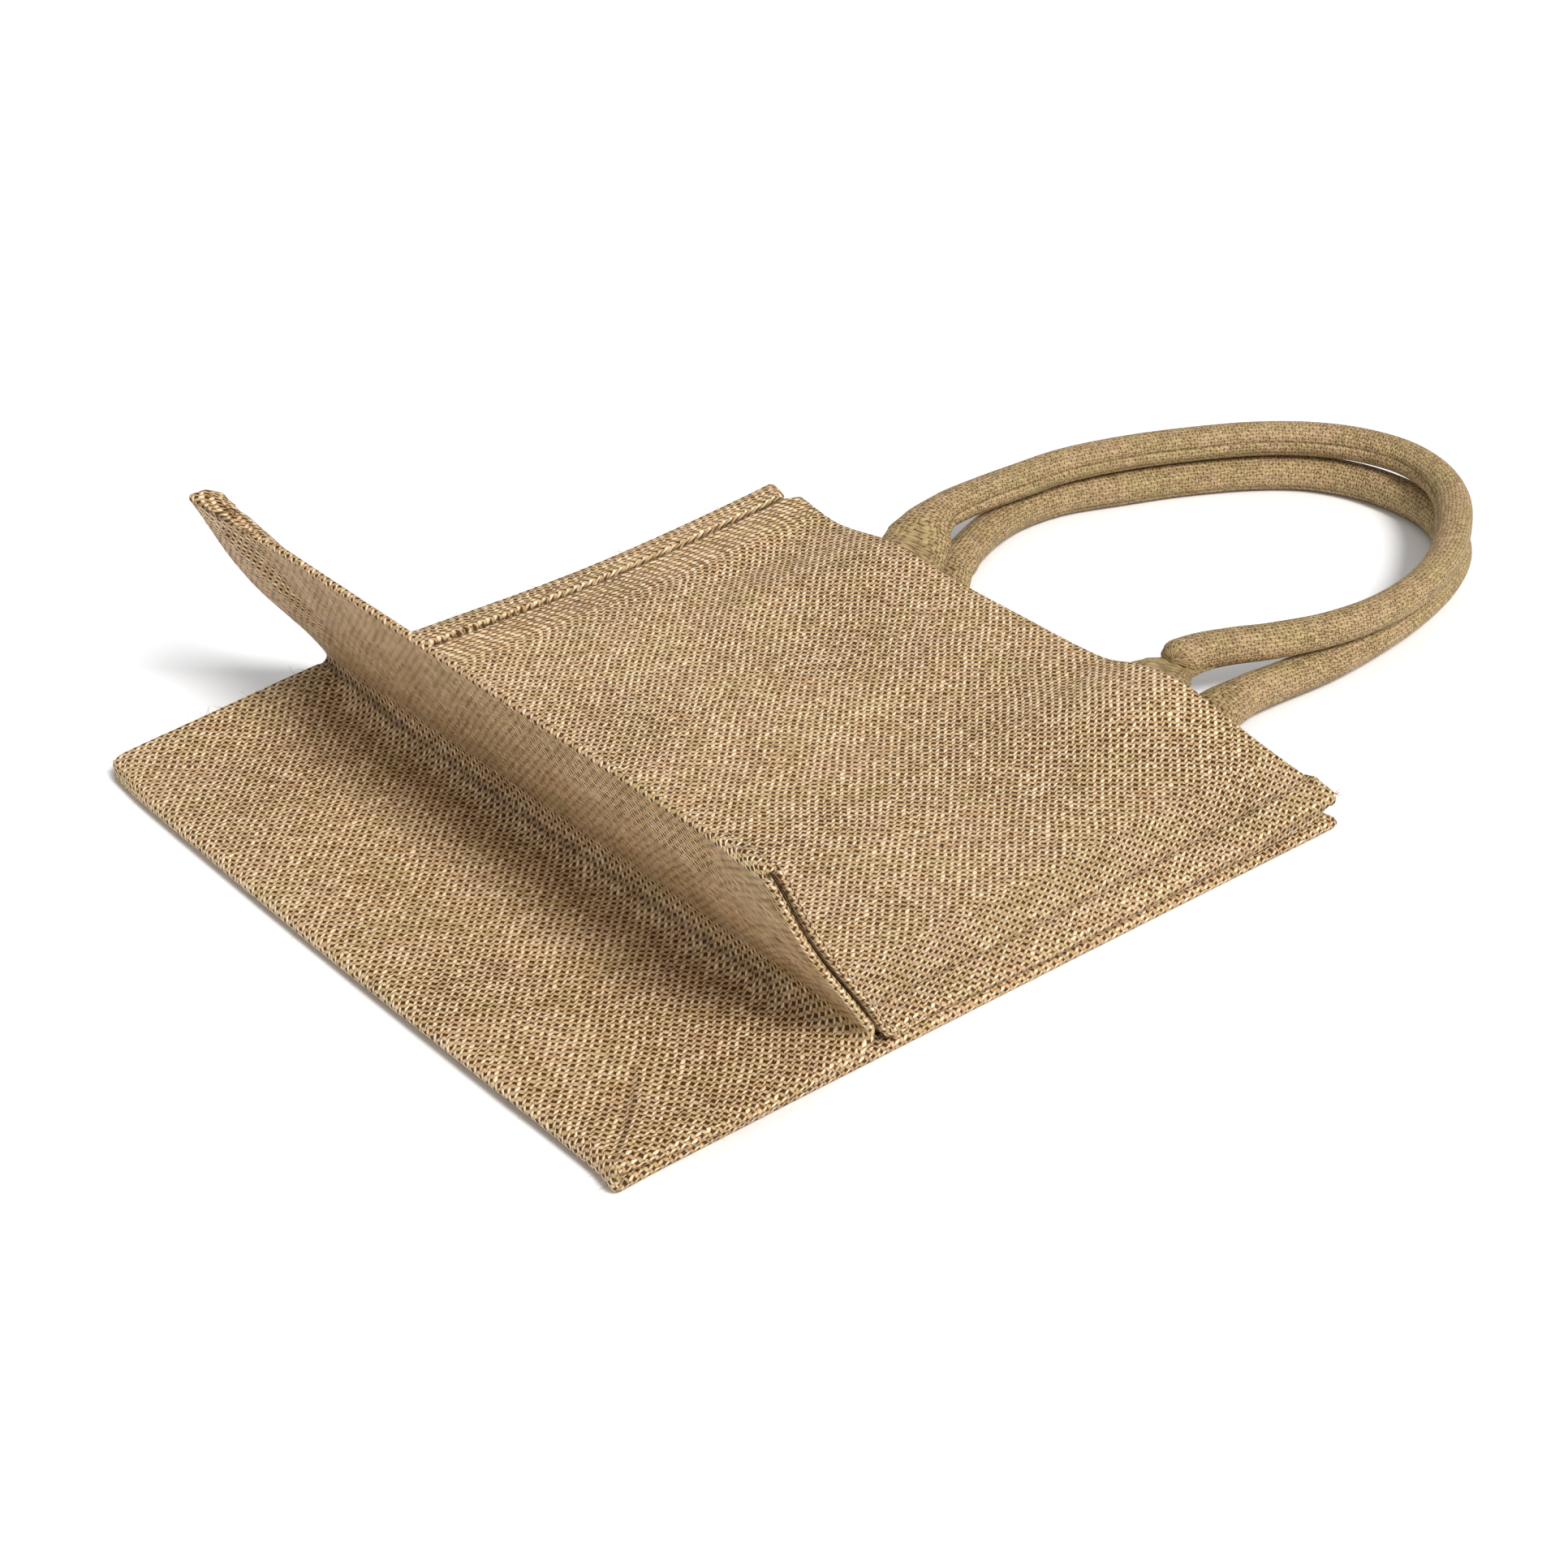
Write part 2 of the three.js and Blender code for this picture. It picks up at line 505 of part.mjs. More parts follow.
// A point of a gusset wing, on the side that faces the body cloth
function wingPoint(stretch, along, depth, far) {
  const y = far ? WIDTH - depth : depth;
  const clear = depth < SEAM ? GAP : INNER_GAP;
  const onPanel = stretch === "lower" || stretch === "upper";
  const nearMouth = onPanel ? smooth(...WEBBING_ROOM.x, along) : 0;
  const room = WEBBING_ROOM.depth * smooth(...WEBBING_ROOM.y, depth);
  const panel = bodyThickness(stretch, onPanel ? Math.min(along, WEBBING_ROOM.x[0]) : along, y);
  const inward = THREE.MathUtils.lerp(panel, HEM + room, nearMouth) + clear;
  return outer(stretch, along, y).addScaledVector(outward(stretch, along, y), -inward);
}

function wingDepths(limit) {
  const depths = [0.6, Math.min(12, limit * 0.4), Math.min(14, limit * 0.55)];
  for (let k = 3; k <= WING_COLUMNS; k++) depths.push(THREE.MathUtils.lerp(depths[2], limit, (k - 2) / (WING_COLUMNS - 2)));
  return depths;
}

function gusset(far) {
  const sheet = new Sheet();
  const inSeam = (depth) => (depth < SEAM ? GUSSET_SEAM : GUSSET_CLOTH);
  const row = (stretch, along, limit) =>
    wingDepths(limit).map((depth) => sheet.add(wingPoint(stretch, along, depth, far), inSeam(depth)));

  // Four wings: on the lower panel, under the base, on the flap's left face, and on the right face and upper panel
  const limits = CORNER_STATIONS.map(({ share }) => share * GUSSET_HALF);
  const corner = (wing) => CORNER_STATIONS.map((station, k) => row(...station[wing], limits[k]));
  const foot = row(...FOOT_STATION.base, GUSSET_HALF);
  const lower = [
    ...CORNER_STATIONS.map((station, k) => row("lower", station.lower, limits[k])),
    row("lower", FOOT_STATION.lower, GUSSET_HALF),
    ...OPEN_STATIONS.map((station) => row("lower", station.lower, GUSSET_HALF)),
  ];
  const base = [...corner("base"), foot];
  const left = [foot, ...corner("left").reverse()];
  const upper = [
    ...corner("right"),
    row(...FOOT_STATION.right, GUSSET_HALF),
    ...OPEN_STATIONS.map((station) => row(...station.upper, GUSSET_HALF)),
  ];
  for (let k = 0; k + 1 < lower.length; k++) sheet.strip(lower[k], lower[k + 1], !far);
  for (let k = 0; k + 1 < base.length; k++) sheet.strip(base[k], base[k + 1], far);
  for (let k = 0; k + 1 < left.length; k++) sheet.strip(left[k], left[k + 1], far);
  for (let k = 0; k + 1 < upper.length; k++) sheet.strip(upper[k], upper[k + 1], far);

  // Creases: rounded strips that join the wings' inner edges
  const deep = new THREE.Vector3(0, far ? -1 : 1, 0);
  const crease = (from, to, beyond, most) => {
    const a = sheet.points[from];
    const b = sheet.points[to];
    const middle = a.clone().add(b).multiplyScalar(0.5);
    const half = a.clone().sub(middle);
    const bulge = beyond.clone().normalize().multiplyScalar(Math.min(half.length(), most));
    const points = [from];
    for (let k = 1; k < CREASE_STEPS; k++) {
      const angle = (Math.PI * k) / CREASE_STEPS;
      const point = middle.clone().addScaledVector(half, Math.cos(angle)).addScaledVector(bulge, Math.sin(angle));
      points.push(sheet.add(point, GUSSET_CLOTH));
    }
    return [...points, to];
  };
  const inner = (rows, k) => rows[k][WING_COLUMNS];
  const last = CORNER_STATIONS.length;
  const low = [];
  const high = [];
  for (let k = 0; k <= last; k++) {
    const { along } = flapLine(far ? WIDTH : 0);
    const slant = new THREE.Vector3(-1, 0, 0).add(deep);
    const up = new THREE.Vector3(along[0], 0, along[1]).add(deep);
    const atFoot = k === last;
    const most = atFoot ? CREASE_BULGE / 2 : CREASE_BULGE;
    low.push(crease(inner(lower, k), inner(base, k), atFoot ? deep : slant, most));
    high.push(crease(inner(left, last - k), inner(upper, k), atFoot ? deep : up, most));
  }
  for (let k = 0; k < last; k++) {
    sheet.strip(low[k], low[k + 1], !far);
    sheet.strip(high[k], high[k + 1], !far);
  }
  const open = [[...low[last], ...high[last].slice(1)]];
  for (let k = last + 1; k < lower.length; k++) open.push(mouthCrease(sheet, inner(lower, k), inner(upper, k), deep));
  for (let k = 0; k + 1 < open.length; k++) sheet.strip(open[k], open[k + 1], !far);
  return sheet.solid();
}

// The long crease between the lower and upper wings, in twice as many steps as a corner's crease
function mouthCrease(sheet, from, to, deep) {
  const a = sheet.points[from];
  const b = sheet.points[to];
  const middle = a.clone().add(b).multiplyScalar(0.5);
  const half = a.clone().sub(middle);
  const bulge = deep.clone().multiplyScalar(CREASE_BULGE);
  const points = [from];
  for (let k = 1; k < 2 * CREASE_STEPS; k++) {
    const angle = (Math.PI * k) / (2 * CREASE_STEPS);
    const point = middle.clone().addScaledVector(half, Math.cos(angle)).addScaledVector(bulge, Math.sin(angle));
    points.push(sheet.add(point, GUSSET_CLOTH));
  }
  return [...points, to];
}

// Middle of the webbing under the upper hem
function sewnHeight(x, y) {
  return upperTop(x, y) - HEM - SEWN_GAP - WEBBING / 2;
}

// A handle: round along the loop, flat at its sewn ends
function handle(route) {
  const places = route.map(({ x, y, z, sewn }) => {
    return new THREE.Vector3(x, y, sewn ? sewnHeight(x, y) : z);
  });
  const path = new THREE.CatmullRomCurve3(places, false, "centripetal");
  const steps = (route.length - 1) * STEPS_PER_ROW;
  const rings = [];
  for (let k = 0; k <= steps; k++) {
    const t = k / steps;
    const row = Math.min(Math.floor(k / STEPS_PER_ROW), route.length - 2);
    const share = k / STEPS_PER_ROW - row;
    const mix = (name) => THREE.MathUtils.lerp(route[row][name], route[row + 1][name], share);
    const sewn = route[row].sewn && (share === 0 || route[row + 1].sewn);
    rings.push(handleRing(path.getPoint(t), path.getTangent(t), mix("wide"), mix("high"), mix("flat"), sewn));
  }
  return tube(rings);
}

function handleRing(centre, tangent, wide, high, flat, sewn) {
  const side = new THREE.Vector3(-tangent.y * (1 - flat), tangent.x, 0).normalize();
  const up = tangent.clone().cross(side).normalize();
  const half = RING_SIDES / 2;
  const ring = [];
  for (let k = 0; k < RING_SIDES; k++) {
    const angle = (2 * Math.PI * (k + 0.5)) / RING_SIDES;
    const top = k < half ? 1 : -1;
    const even = top * (1 - (2 * (k % half)) / (half - 1));
    const u = THREE.MathUtils.lerp(Math.cos(angle), even, flat) * wide;
    const v = THREE.MathUtils.lerp(Math.sin(angle), top, flat) * high;
    const point = centre.clone().addScaledVector(side, u).addScaledVector(up, v);
    if (sewn) point.z = sewnHeight(point.x, point.y) + v;
    ring.push(point);
  }
  return ring;
}

// A closed solid through rings of points
function tube(rings) {
  const sides = rings[0].length;
  const position = rings.flat().flatMap(({ x, y, z }) => [x, y, z]);
  const index = [];
  const at = (ring, k) => ring * sides + (k % sides);
  for (let ring = 0; ring + 1 < rings.length; ring++) {
    for (let k = 0; k < sides; k++) {
      index.push(at(ring, k), at(ring, k + 1), at(ring + 1, k + 1));
      index.push(at(ring, k), at(ring + 1, k + 1), at(ring + 1, k));
    }
  }
  const end = rings.length - 1;
  for (let k = 1; k + 1 < sides; k++) {
    index.push(at(0, 0), at(0, k + 1), at(0, k));
    index.push(at(end, 0), at(end, k), at(end, k + 1));
  }
  return new THREE.BufferGeometry()
    .setAttribute("position", new THREE.Float32BufferAttribute(position, 3))
    .setIndex(index);
}

function piece(name, geometry, color, roughness) {
  const mesh = new THREE.Mesh(geometry, new THREE.MeshStandardMaterial({ color, roughness, metalness: 0 }));
  mesh.name = name;
  return mesh;
}

const bag = new THREE.Group();
bag.add(
  piece("body_cloth", bodyCloth(), 0xb59a6d, 0.95),
  piece("gusset_near", gusset(false), 0xa98e62, 0.95),
  piece("gusset_far", gusset(true), 0xa98e62, 0.95),
  piece("handle_lower", handle(LOWER_HANDLE), 0xa98f63, 0.9),
  piece("handle_upper", handle(UPPER_HANDLE), 0xa98f63, 0.9),
);
bag.position.set(-ORIGIN[0], -ORIGIN[1], 0);

export default bag;
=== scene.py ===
"""Jute tote bag with a boxed base, lying on its front panel with half of the base standing up as a flap.

The bag's own axes are millimetres: x from the bottom fold to the mouth, y from the near side seam to the far one,
z up from the surface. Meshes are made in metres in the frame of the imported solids.

The cloth's outer face is made of stretches that follow each other round the folds. A place on a stretch is a share
t of it, from 0 at its start to 1 at its end, and y. A table of pairs is (place, value), read by curve().
"""

import math

import bpy
import numpy as np
from mathutils import Matrix, Vector


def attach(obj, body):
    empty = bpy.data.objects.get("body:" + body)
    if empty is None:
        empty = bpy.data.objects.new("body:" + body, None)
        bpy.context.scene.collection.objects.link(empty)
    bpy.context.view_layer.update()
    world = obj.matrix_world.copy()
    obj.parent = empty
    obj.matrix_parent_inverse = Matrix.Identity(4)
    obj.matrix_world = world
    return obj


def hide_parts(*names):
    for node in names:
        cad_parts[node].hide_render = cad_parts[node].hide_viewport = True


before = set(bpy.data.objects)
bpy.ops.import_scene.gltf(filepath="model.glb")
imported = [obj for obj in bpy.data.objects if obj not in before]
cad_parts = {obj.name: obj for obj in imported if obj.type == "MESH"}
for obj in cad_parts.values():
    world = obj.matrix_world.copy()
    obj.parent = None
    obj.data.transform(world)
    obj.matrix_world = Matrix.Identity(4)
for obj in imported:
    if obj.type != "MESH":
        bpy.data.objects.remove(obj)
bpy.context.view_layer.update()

# Sizes, as in the solids
METRES = 0.001
WIDTH = 292.0
MOUTH = 300.0  # x of the lower mouth
UPPER_MOUTH = 301.5
GUSSET_HALF = 92.0  # the gussets fold inward to this depth
ORIGIN = np.array([254.8, 144.8, 0.0])  # middle of the footprint
SEAM = 13.0  # width of the pinched side seams
SEAM_SOFT = 2.0  # over which the hem's thickness changes there
HEM = 2.2  # two layers of cloth
CLOTH = 1.1
SEWN_GAP = 0.5  # between the webbing and the hem
WEBBING = 2.4

# Corners (x, z) of the section at the near seam, inside the panel and at the far seam
FOLD = {"near": (0, 8.5), "mid": (0, 6.9), "far": (0, 6.9)}
FOOT = {"near": (96.2, 8.4), "mid": (96.5, 6.9), "far": (95.0, 13.0)}
CREST = {"near": (54.2, 82.8), "mid": (55.4, 83.1), "far": (45.2, 91.8)}
SEAM_EASE = 34.0  # from a seam to where the middle value holds
# near, middle and far value of each
FOOT_RADIUS = (3.0, 9.0, 2.5)
RIGHT_FOOT_RADIUS = (3.0, 9.0, 3.2)
BOW = (2.0, 1.2, 3.0)  # the flap's outward curve
BOW_RISE = (0.1, 0.55)  # shares of the flap's height
BOW_FALL = (0.6, 1.05)
FLAP_OPEN = 6.6  # the flap's thickness where the gussets lie inside it
FLAP_CLOSED = 3.0
FLAP_TIP = 9.5
TIP_WIDTH = 12.0
TIP_HEIGHT = 0.7
WING_END = 16.0  # the thick part reaches this far from the side seams, and further down the flap
WING_SOFT = (14.0, 24.0, 2.0)  # how softly it ends: inward at the crest, more at the foot, and outward
CREST_RISE = 2.0
CREST_SLOPE = 0.6
CREST_SLOPE_FROM = 0.4
RIGHT_FACE = (0.1, 0.3)  # heights that give the slope of the flap's right face near its foot
RIGHT_FOOT_AHEAD = 25.0  # the panel's height is read this far right of it
PANEL_START = 125.0  # from here on the upper panel follows its tables
UPPER_NEAR = ((100, 8.8), (140, 8.8), (200, 9.0), (250, 10.4), (302, 14.0))
UPPER_MID = ((100, 8.8), (140, 10.4), (200, 11.8), (250, 13.7), (302, 17.0))
UPPER_FAR = ((100, 13.2), (140, 12.6), (200, 12.3), (250, 14.4), (302, 18.8))
MOUTH_TOP = (
    (0, 14.0), (16, 15.0), (40, 18.9), (70, 25.0), (90, 24.2), (108, 19.0), (124, 17.9),
    (150, 17.8), (190, 17.9), (222, 19.6), (254, 15.2), (276, 18.0), (292, 18.8),
)
MOUTH_REACH = 76.0  # how far in the mouth's waves reach
EDGE_REACH = 40.0  # how far in from a side edge its shift reaches
# How far the side edges and the bottom and mouth edges lie from the straight line
NEAR_EDGE = {
    "lower": ((0, 0), (20, 0.5), (160, 0.5), (300, -0.4)),
    "base": ((0, 1.5), (18, -0.6), (38, -2.6), (62, -2.6), (97, 0)),
    "upper": ((100, 1.6), (130, 1.4), (160, 0.2), (230, 0.6), (302, 0)),
}
FAR_EDGE = {
    "base": ((0, -1.2), (45, -0.3), (75, 0.6), (97, 0.6)),
    "upper": ((100, -0.8), (200, -0.8), (260, 0), (302, 0)),
}
FAR_CORNER_RADIUS = 8.0
BOTTOM_EDGE = ((0, -2.0), (11, -0.4), (60, -0.9), (150, -0.9), (220, 0), (270, 1.2), (292, 2.6))
BOTTOM_REACH = 24.0
LOWER_CORNER = (3.0, 10.0)  # how far the lower mouth's near corner is drawn out, and over what width
MOUTH_EDGE = (
    (0, -0.8), (2, 0.8), (12, 2.8), (15, 0), (146, 0), (276, 0.4), (279, -7.2), (282.5, -2.8), (290, -1.2),
    (292, -3.0),
)
MOUTH_EDGE_REACH = 14.0
LIFT_REACH = 34.0
LIFT = ((0, 0), (12, 0.3), (40, 1.7), (90, 1.7), (150, 0.9), (230, 1.2), (292, 0.4))  # of the bottom fold
FOLD_BULGE = 3.2
TIP_RADIUS = (2.5, 2.8)  # rounding of the crest's near and far corner
TIP_RECESS = (0.8, 6.5, 22.0)  # how far the tip's left and right side stay back, and how far down that reaches
CREST_GROOVE = (32.0, 22.0, 7.0, 2.5)  # distances from the far end where it starts, is full, fades and ends
GROOVE_DEPTH = 2.4
GROOVE_SHARPNESS = 6
TIP_RISE = 3.2
TIP_REACH = (22.0, 6.0)  # the tip rises between these distances from the far end


# Number helpers
def smooth(low, high, value):
    t = np.clip((value - low) / (high - low), 0.0, 1.0)
    return t * t * (3 - 2 * t)


def lerp(a, b, t):
    return a + (b - a) * t


def across(values, y):
    """Value at y from its near, middle and far value."""
    near, mid, far = values
    inner = smooth(0, SEAM_EASE, y) * smooth(0, SEAM_EASE, WIDTH - y)
    return lerp(lerp(near, far, y / WIDTH), mid, inner)


def curve(rows, at):
    """A smooth line through the rows (place, value) of a table."""
    keys = np.array([row[0] for row in rows], float)
    values = np.array([row[1] for row in rows], float)
    before = np.maximum(np.arange(len(keys)) - 1, 0)
    after = np.minimum(np.arange(len(keys)) + 1, len(keys) - 1)
    slopes = (values[after] - values[before]) / (keys[after] - keys[before])
    place = np.clip(at, keys[0], keys[-1])
    i = np.clip(np.searchsorted(keys, place, side="right") - 1, 0, len(keys) - 2)
    span = keys[i + 1] - keys[i]
    t = (place - keys[i]) / span
    bend = t * t * (3 - 2 * t)
    return (
        values[i] * (1 - bend)
        + values[i + 1] * bend
        + span * (t * (1 - t) ** 2 * slopes[i] - t * t * (1 - t) * slopes[i + 1])
    )


def unit(v):
    return v / np.maximum(np.linalg.norm(v, axis=0), 1e-9)


# The cloth's outer surface, stretch by stretch: arrays over y, one row of the cloth at a time
def corner_at(table, y):
    return np.array([across([table[k][axis] for k in ("near", "mid", "far")], y) for axis in (0, 1)])


def upper_top(x, y):
    ones = np.ones_like(y)

    def top(place):
        return across((curve(UPPER_NEAR, place), curve(UPPER_MID, place), curve(UPPER_FAR, place)), y)

    wave = curve(MOUTH_TOP, y) - top(UPPER_MOUTH * ones)
    return top(x * ones) + wave * smooth(UPPER_MOUTH - MOUTH_REACH, UPPER_MOUTH, x)


def fold_lift(x, y):
    return curve(LIFT, y) * (1 - smooth(0, LIFT_REACH, x))


def flap_line(y):
    foot = corner_at(FOOT, y)
    crest = corner_at(CREST, y)
    length = np.linalg.norm(crest - foot, axis=0)
    along = (crest - foot) / length
    return foot, length, along, np.array([along[1], -along[0]])


def flap_left(height, y):
    foot, length, along, right = flap_line(y)
    bow = across(BOW, y) * smooth(*BOW_RISE, height) * (1 - smooth(*BOW_FALL, height))
    return foot + along * height * length - right * bow


def flap_thickness(height, y):
    _, length, _, _ = flap_line(y)
    from_end = np.minimum(y, WIDTH - y)
    soft, softer, outward = WING_SOFT
    inside = smooth(-soft - softer * (1 - height), outward, (1 - height) * length + WING_END - from_end)
    tip = np.clip((y - WIDTH + TIP_WIDTH) / TIP_WIDTH, 0, 1) * smooth(TIP_HEIGHT, 1, height)
    return lerp(FLAP_CLOSED, FLAP_OPEN, inside) + (FLAP_TIP - FLAP_OPEN) * tip


def crest_drop(y):
    return CREST_SLOPE * (flap_thickness(1.0, y) - FLAP_CLOSED)


def flap_right(height, y):
    _, _, along, right = flap_line(y)
    drop = crest_drop(y) * smooth(CREST_SLOPE_FROM, 1, height)
    return flap_left(height, y) + right * flap_thickness(height, y) - along * drop


def rounded_corner(before, corner, after, radius, share):
    """Point at a share of the arc that rounds the corner between two others."""
    into = unit(corner - before)
    out = unit(after - corner)
    cross = into[0] * out[1] - into[1] * out[0]
    turn = np.arctan2(cross, into[0] * out[0] + into[1] * out[1])
    reach = radius * np.tan(np.abs(turn) / 2)
    side = np.sign(turn)
    start = corner - into * reach
    centre = start + np.array([-into[1], into[0]]) * radius * side
    angle = turn * share
    arm = start - centre
    return centre + np.array([
        arm[0] * np.cos(angle) - arm[1] * np.sin(angle),
        arm[0] * np.sin(angle) + arm[1] * np.cos(angle),
    ])


def foot_arc(share, y):
    return rounded_corner(corner_at(FOLD, y), corner_at(FOOT, y), corner_at(CREST, y), across(FOOT_RADIUS, y), share)


def right_foot_arc(share, y):
    low, high = (flap_right(height, y) for height in RIGHT_FACE)
    after = np.array([PANEL_START + 0 * y, upper_top(PANEL_START, y)])
    slope = (high[0] - low[0]) / (high[1] - low[1])
    z = upper_top(high[0] + RIGHT_FOOT_AHEAD, y)
    corner = np.array([low[0] + slope * (z - low[1]), z])
    return rounded_corner(high, corner, after, across(RIGHT_FOOT_RADIUS, y), share)


def lower(t, y):
    x = lerp(MOUTH, FOLD_BULGE, t) + 0 * y
    return np.array([x, fold_lift(x, y)])


def fold(t, y):
    x, top = corner_at(FOLD, y)
    lift = fold_lift(0.0, y)
    half = (top - lift) / 2
    angle = -math.pi / 2 - math.pi * t
    return np.array([x + FOLD_BULGE * (1 + math.cos(angle)), lift + half * (1 + math.sin(angle))])


def base(t, y):
    start = corner_at(FOLD, y)
    end = corner_at(FOOT, y)
    x = lerp(FOLD_BULGE, foot_arc(0.0, y)[0], t)
    return np.array([x, lerp(start[1], end[1], (x - start[0]) / (end[0] - start[0]))])


def left(t, y):
    foot, length, along, _ = flap_line(y)
    start = np.sum((foot_arc(1.0, y) - foot) * along, axis=0) / length
    return flap_left(lerp(start, 1.0, t), y)


def at_tip(y):
    start, end = TIP_REACH
    return smooth(WIDTH - start, WIDTH - end, y)


def crest(t, y):
    _, _, along, right = flap_line(y)
    half = flap_thickness(1.0, y) / 2
    rise = np.minimum(half, lerp(CREST_RISE, TIP_RISE, at_tip(y)))
    over = (1 - math.cos(math.pi * t)) / 2
    start, full, fade, end = CREST_GROOVE
    length = smooth(WIDTH - start, WIDTH - full, y) * (1 - smooth(WIDTH - fade, WIDTH - end, y))
    dent = GROOVE_DEPTH * length * math.sin(math.pi * t) ** GROOVE_SHARPNESS
    lift = rise * math.sin(math.pi * t) - crest_drop(y) * over - dent
    return flap_left(1.0, y) + right * 2 * half * over + along * lift


def right(t, y):
    low, high = (flap_right(height, y)[1] for height in RIGHT_FACE)
    end = lerp(*RIGHT_FACE, (right_foot_arc(0.0, y)[1] - low) / (high - low))
    return flap_right(lerp(1.0, end, t), y)


def upper(t, y):
    start = right_foot_arc(1.0, y)
    x = lerp(start[0], UPPER_MOUTH, t)
    z = upper_top(x, y)
    straight = lerp(start[1], upper_top(PANEL_START, y), (x - start[0]) / (PANEL_START - start[0]))
    return np.array([x, lerp(straight, z, smooth(start[0], PANEL_START, x))])


STRETCHES = {
    "lower": lower, "fold": fold, "base": base, "foot": foot_arc, "left": left,
    "crest": crest, "right": right, "right_foot": right_foot_arc, "upper": upper,
}


def at_edges(near, far, y):
    return near * (1 - smooth(0, EDGE_REACH, y)) + far * smooth(WIDTH - EDGE_REACH, WIDTH, y)


def edge_shift(stretch, x, y):
    near = curve(NEAR_EDGE[stretch], x) if stretch in NEAR_EDGE else 0.0
    far = curve(FAR_EDGE[stretch], x) if stretch in FAR_EDGE else 0.0
    in_corner = (x < FAR_CORNER_RADIUS) & (stretch in ("fold", "lower", "base"))
    short = FAR_CORNER_RADIUS - np.maximum(x, 0)
    rounded = np.sqrt(np.maximum(FAR_CORNER_RADIUS**2 - short**2, 0)) - FAR_CORNER_RADIUS
    corner = np.where(in_corner, rounded, 0.0)
    return at_edges(near, far + corner, y)


def along_shift(stretch, x, y):
    bottom = curve(BOTTOM_EDGE, y) * (1 - smooth(0, BOTTOM_REACH, x))
    if stretch in ("fold", "base"):
        return bottom
    if stretch not in ("lower", "upper"):
        return 0.0 * y
    end = MOUTH if stretch == "lower" else UPPER_MOUTH
    mouth = np.interp(y, *zip(*MOUTH_EDGE))
    if stretch == "upper":
        return mouth * smooth(end - MOUTH_EDGE_REACH, end, x)
    drawn, width = LOWER_CORNER
    return (mouth + drawn * (1 - smooth(0, width, y))) * smooth(end - MOUTH_EDGE_REACH, end, x) + bottom


def tip_shift(stretch, t, z, y):
    """Rounds the two ends of the crest, seen from the side and, at the far end, from above."""
    if stretch not in ("left", "crest", "right"):
        return 0.0
    below = np.maximum(corner_at(CREST, y)[1] + lerp(CREST_RISE, TIP_RISE, at_tip(y)) - z, 0.0)
    near, far = (radius - np.sqrt(radius**2 - np.maximum(radius - below, 0.0) ** 2) for radius in TIP_RADIUS)
    side = {"left": -1.0, "right": 1.0}.get(stretch, -math.cos(math.pi * t))
    left_back, right_back, reach = TIP_RECESS
    back = (right_back if side > 0 else left_back) * side**2 * (1 - smooth(0, reach, below))
    return at_edges(near, -(far + back), y)


def outer(stretch, t, y):
    x, z = STRETCHES[stretch](t, y)
    aside = edge_shift(stretch, x, y) + tip_shift(stretch, t, z, y)
    return np.array([x + along_shift(stretch, x, y), y + aside, z])


# Soft creases and puckers: place and half length in mm along the stretch and across it, width and depth
# (a trough is negative). "at" is x on the base and the upper panel, and the height above the foot on the flap.
CREASES = (
    # stretch, at, y, half_at, half_y, width, depth
    ("upper", 250, 250, 36, 10, 9, -1.1),
    ("upper", 236, 226, 40, 6, 8, 0.8),
    ("upper", 262, 150, 26, 3, 9, 0.5),
    ("upper", 248, 96, 34, 9, 9, 0.9),
    ("upper", 262, 60, 26, 6, 9, -0.7),
    ("upper", 190, 170, 5, 40, 14, 0.5),
    ("upper", 150, 90, 12, 46, 16, -0.5),
    ("upper", 205, 120, 34, 20, 12, -0.4),
    ("upper", 170, 235, 30, 14, 12, 0.4),
    ("base", 40, 120, 8, 60, 12, -0.5),
    ("base", 22, 200, 4, 40, 9, 0.5),
    ("base", 55, 60, 20, 10, 9, 0.4),
    ("base", 62, 236, 10, 26, 10, -0.4),
    ("upper", 264, 246, 34, -9, 5, -0.9),
    ("upper", 274, 266, 24, 6, 6, 0.8),
    ("upper", 222, 262, 30, 4, 5, -0.5),
    ("base", 18, 21, 17, 17, 1.8, -0.55),
    ("base", 21, 18.5, 17, 17, 1.8, 0.4),
    ("base", 18, 271, 17, -17, 1.5, -0.5),
    ("left", 40, 262, 30, 10, 8, -1.2),
    ("left", 58, 276, 20, 7, 5, 0.9),
    ("left", 34, 150, 4, 60, 12, -0.5),
    ("left", 52, 90, 5, 50, 10, 0.4),
    ("left", 20, 40, 12, 14, 9, 0.5),
    ("right", 40, 262, 26, 9, 8, 0.8),
    ("right", 44, 120, 6, 60, 14, 0.5),
)
GROOVE = 12.6  # distance of the seam's stitch line from the edge
SEAM_RELIEF = {  # near and far: how deep the stitch line is pulled in, and how far the band outside it stands proud
    "base": ((0.1, 0.1), (0.1, 0.1)),
    "left": ((0.1, 0.0), (0.1, 0.1)),
    "right": ((0.3, 0.2), (0.4, 0.3)),
    "upper": ((0.4, 0.35), (1.3, 0.85)),
}
STITCH = 5.2  # from one pull of the thread to the next
STITCH_PULL = 0.35
STITCH_WIDTH = 0.8
STITCH_RIM = (0.25, 2.1, 1.1)  # share of the depth, distance from the line and width of the low swelling beside it
BAND = (0.4, -1.6, 5.0)  # the band ends here from the stitch line, rises to here, and starts this far from the edge
CREASE_FADE = 2.2
FLAP_HEIGHT = 80.0
FACE_FADE = {"left": (0.06, 0.06), "right": (0.06, 0.06), "base": (0.04, 0.02), "upper": (0.04, 0.02)}
FACE_STEP = (0.012, 1.0)  # share of a stretch, and mm across it, over which its direction is read
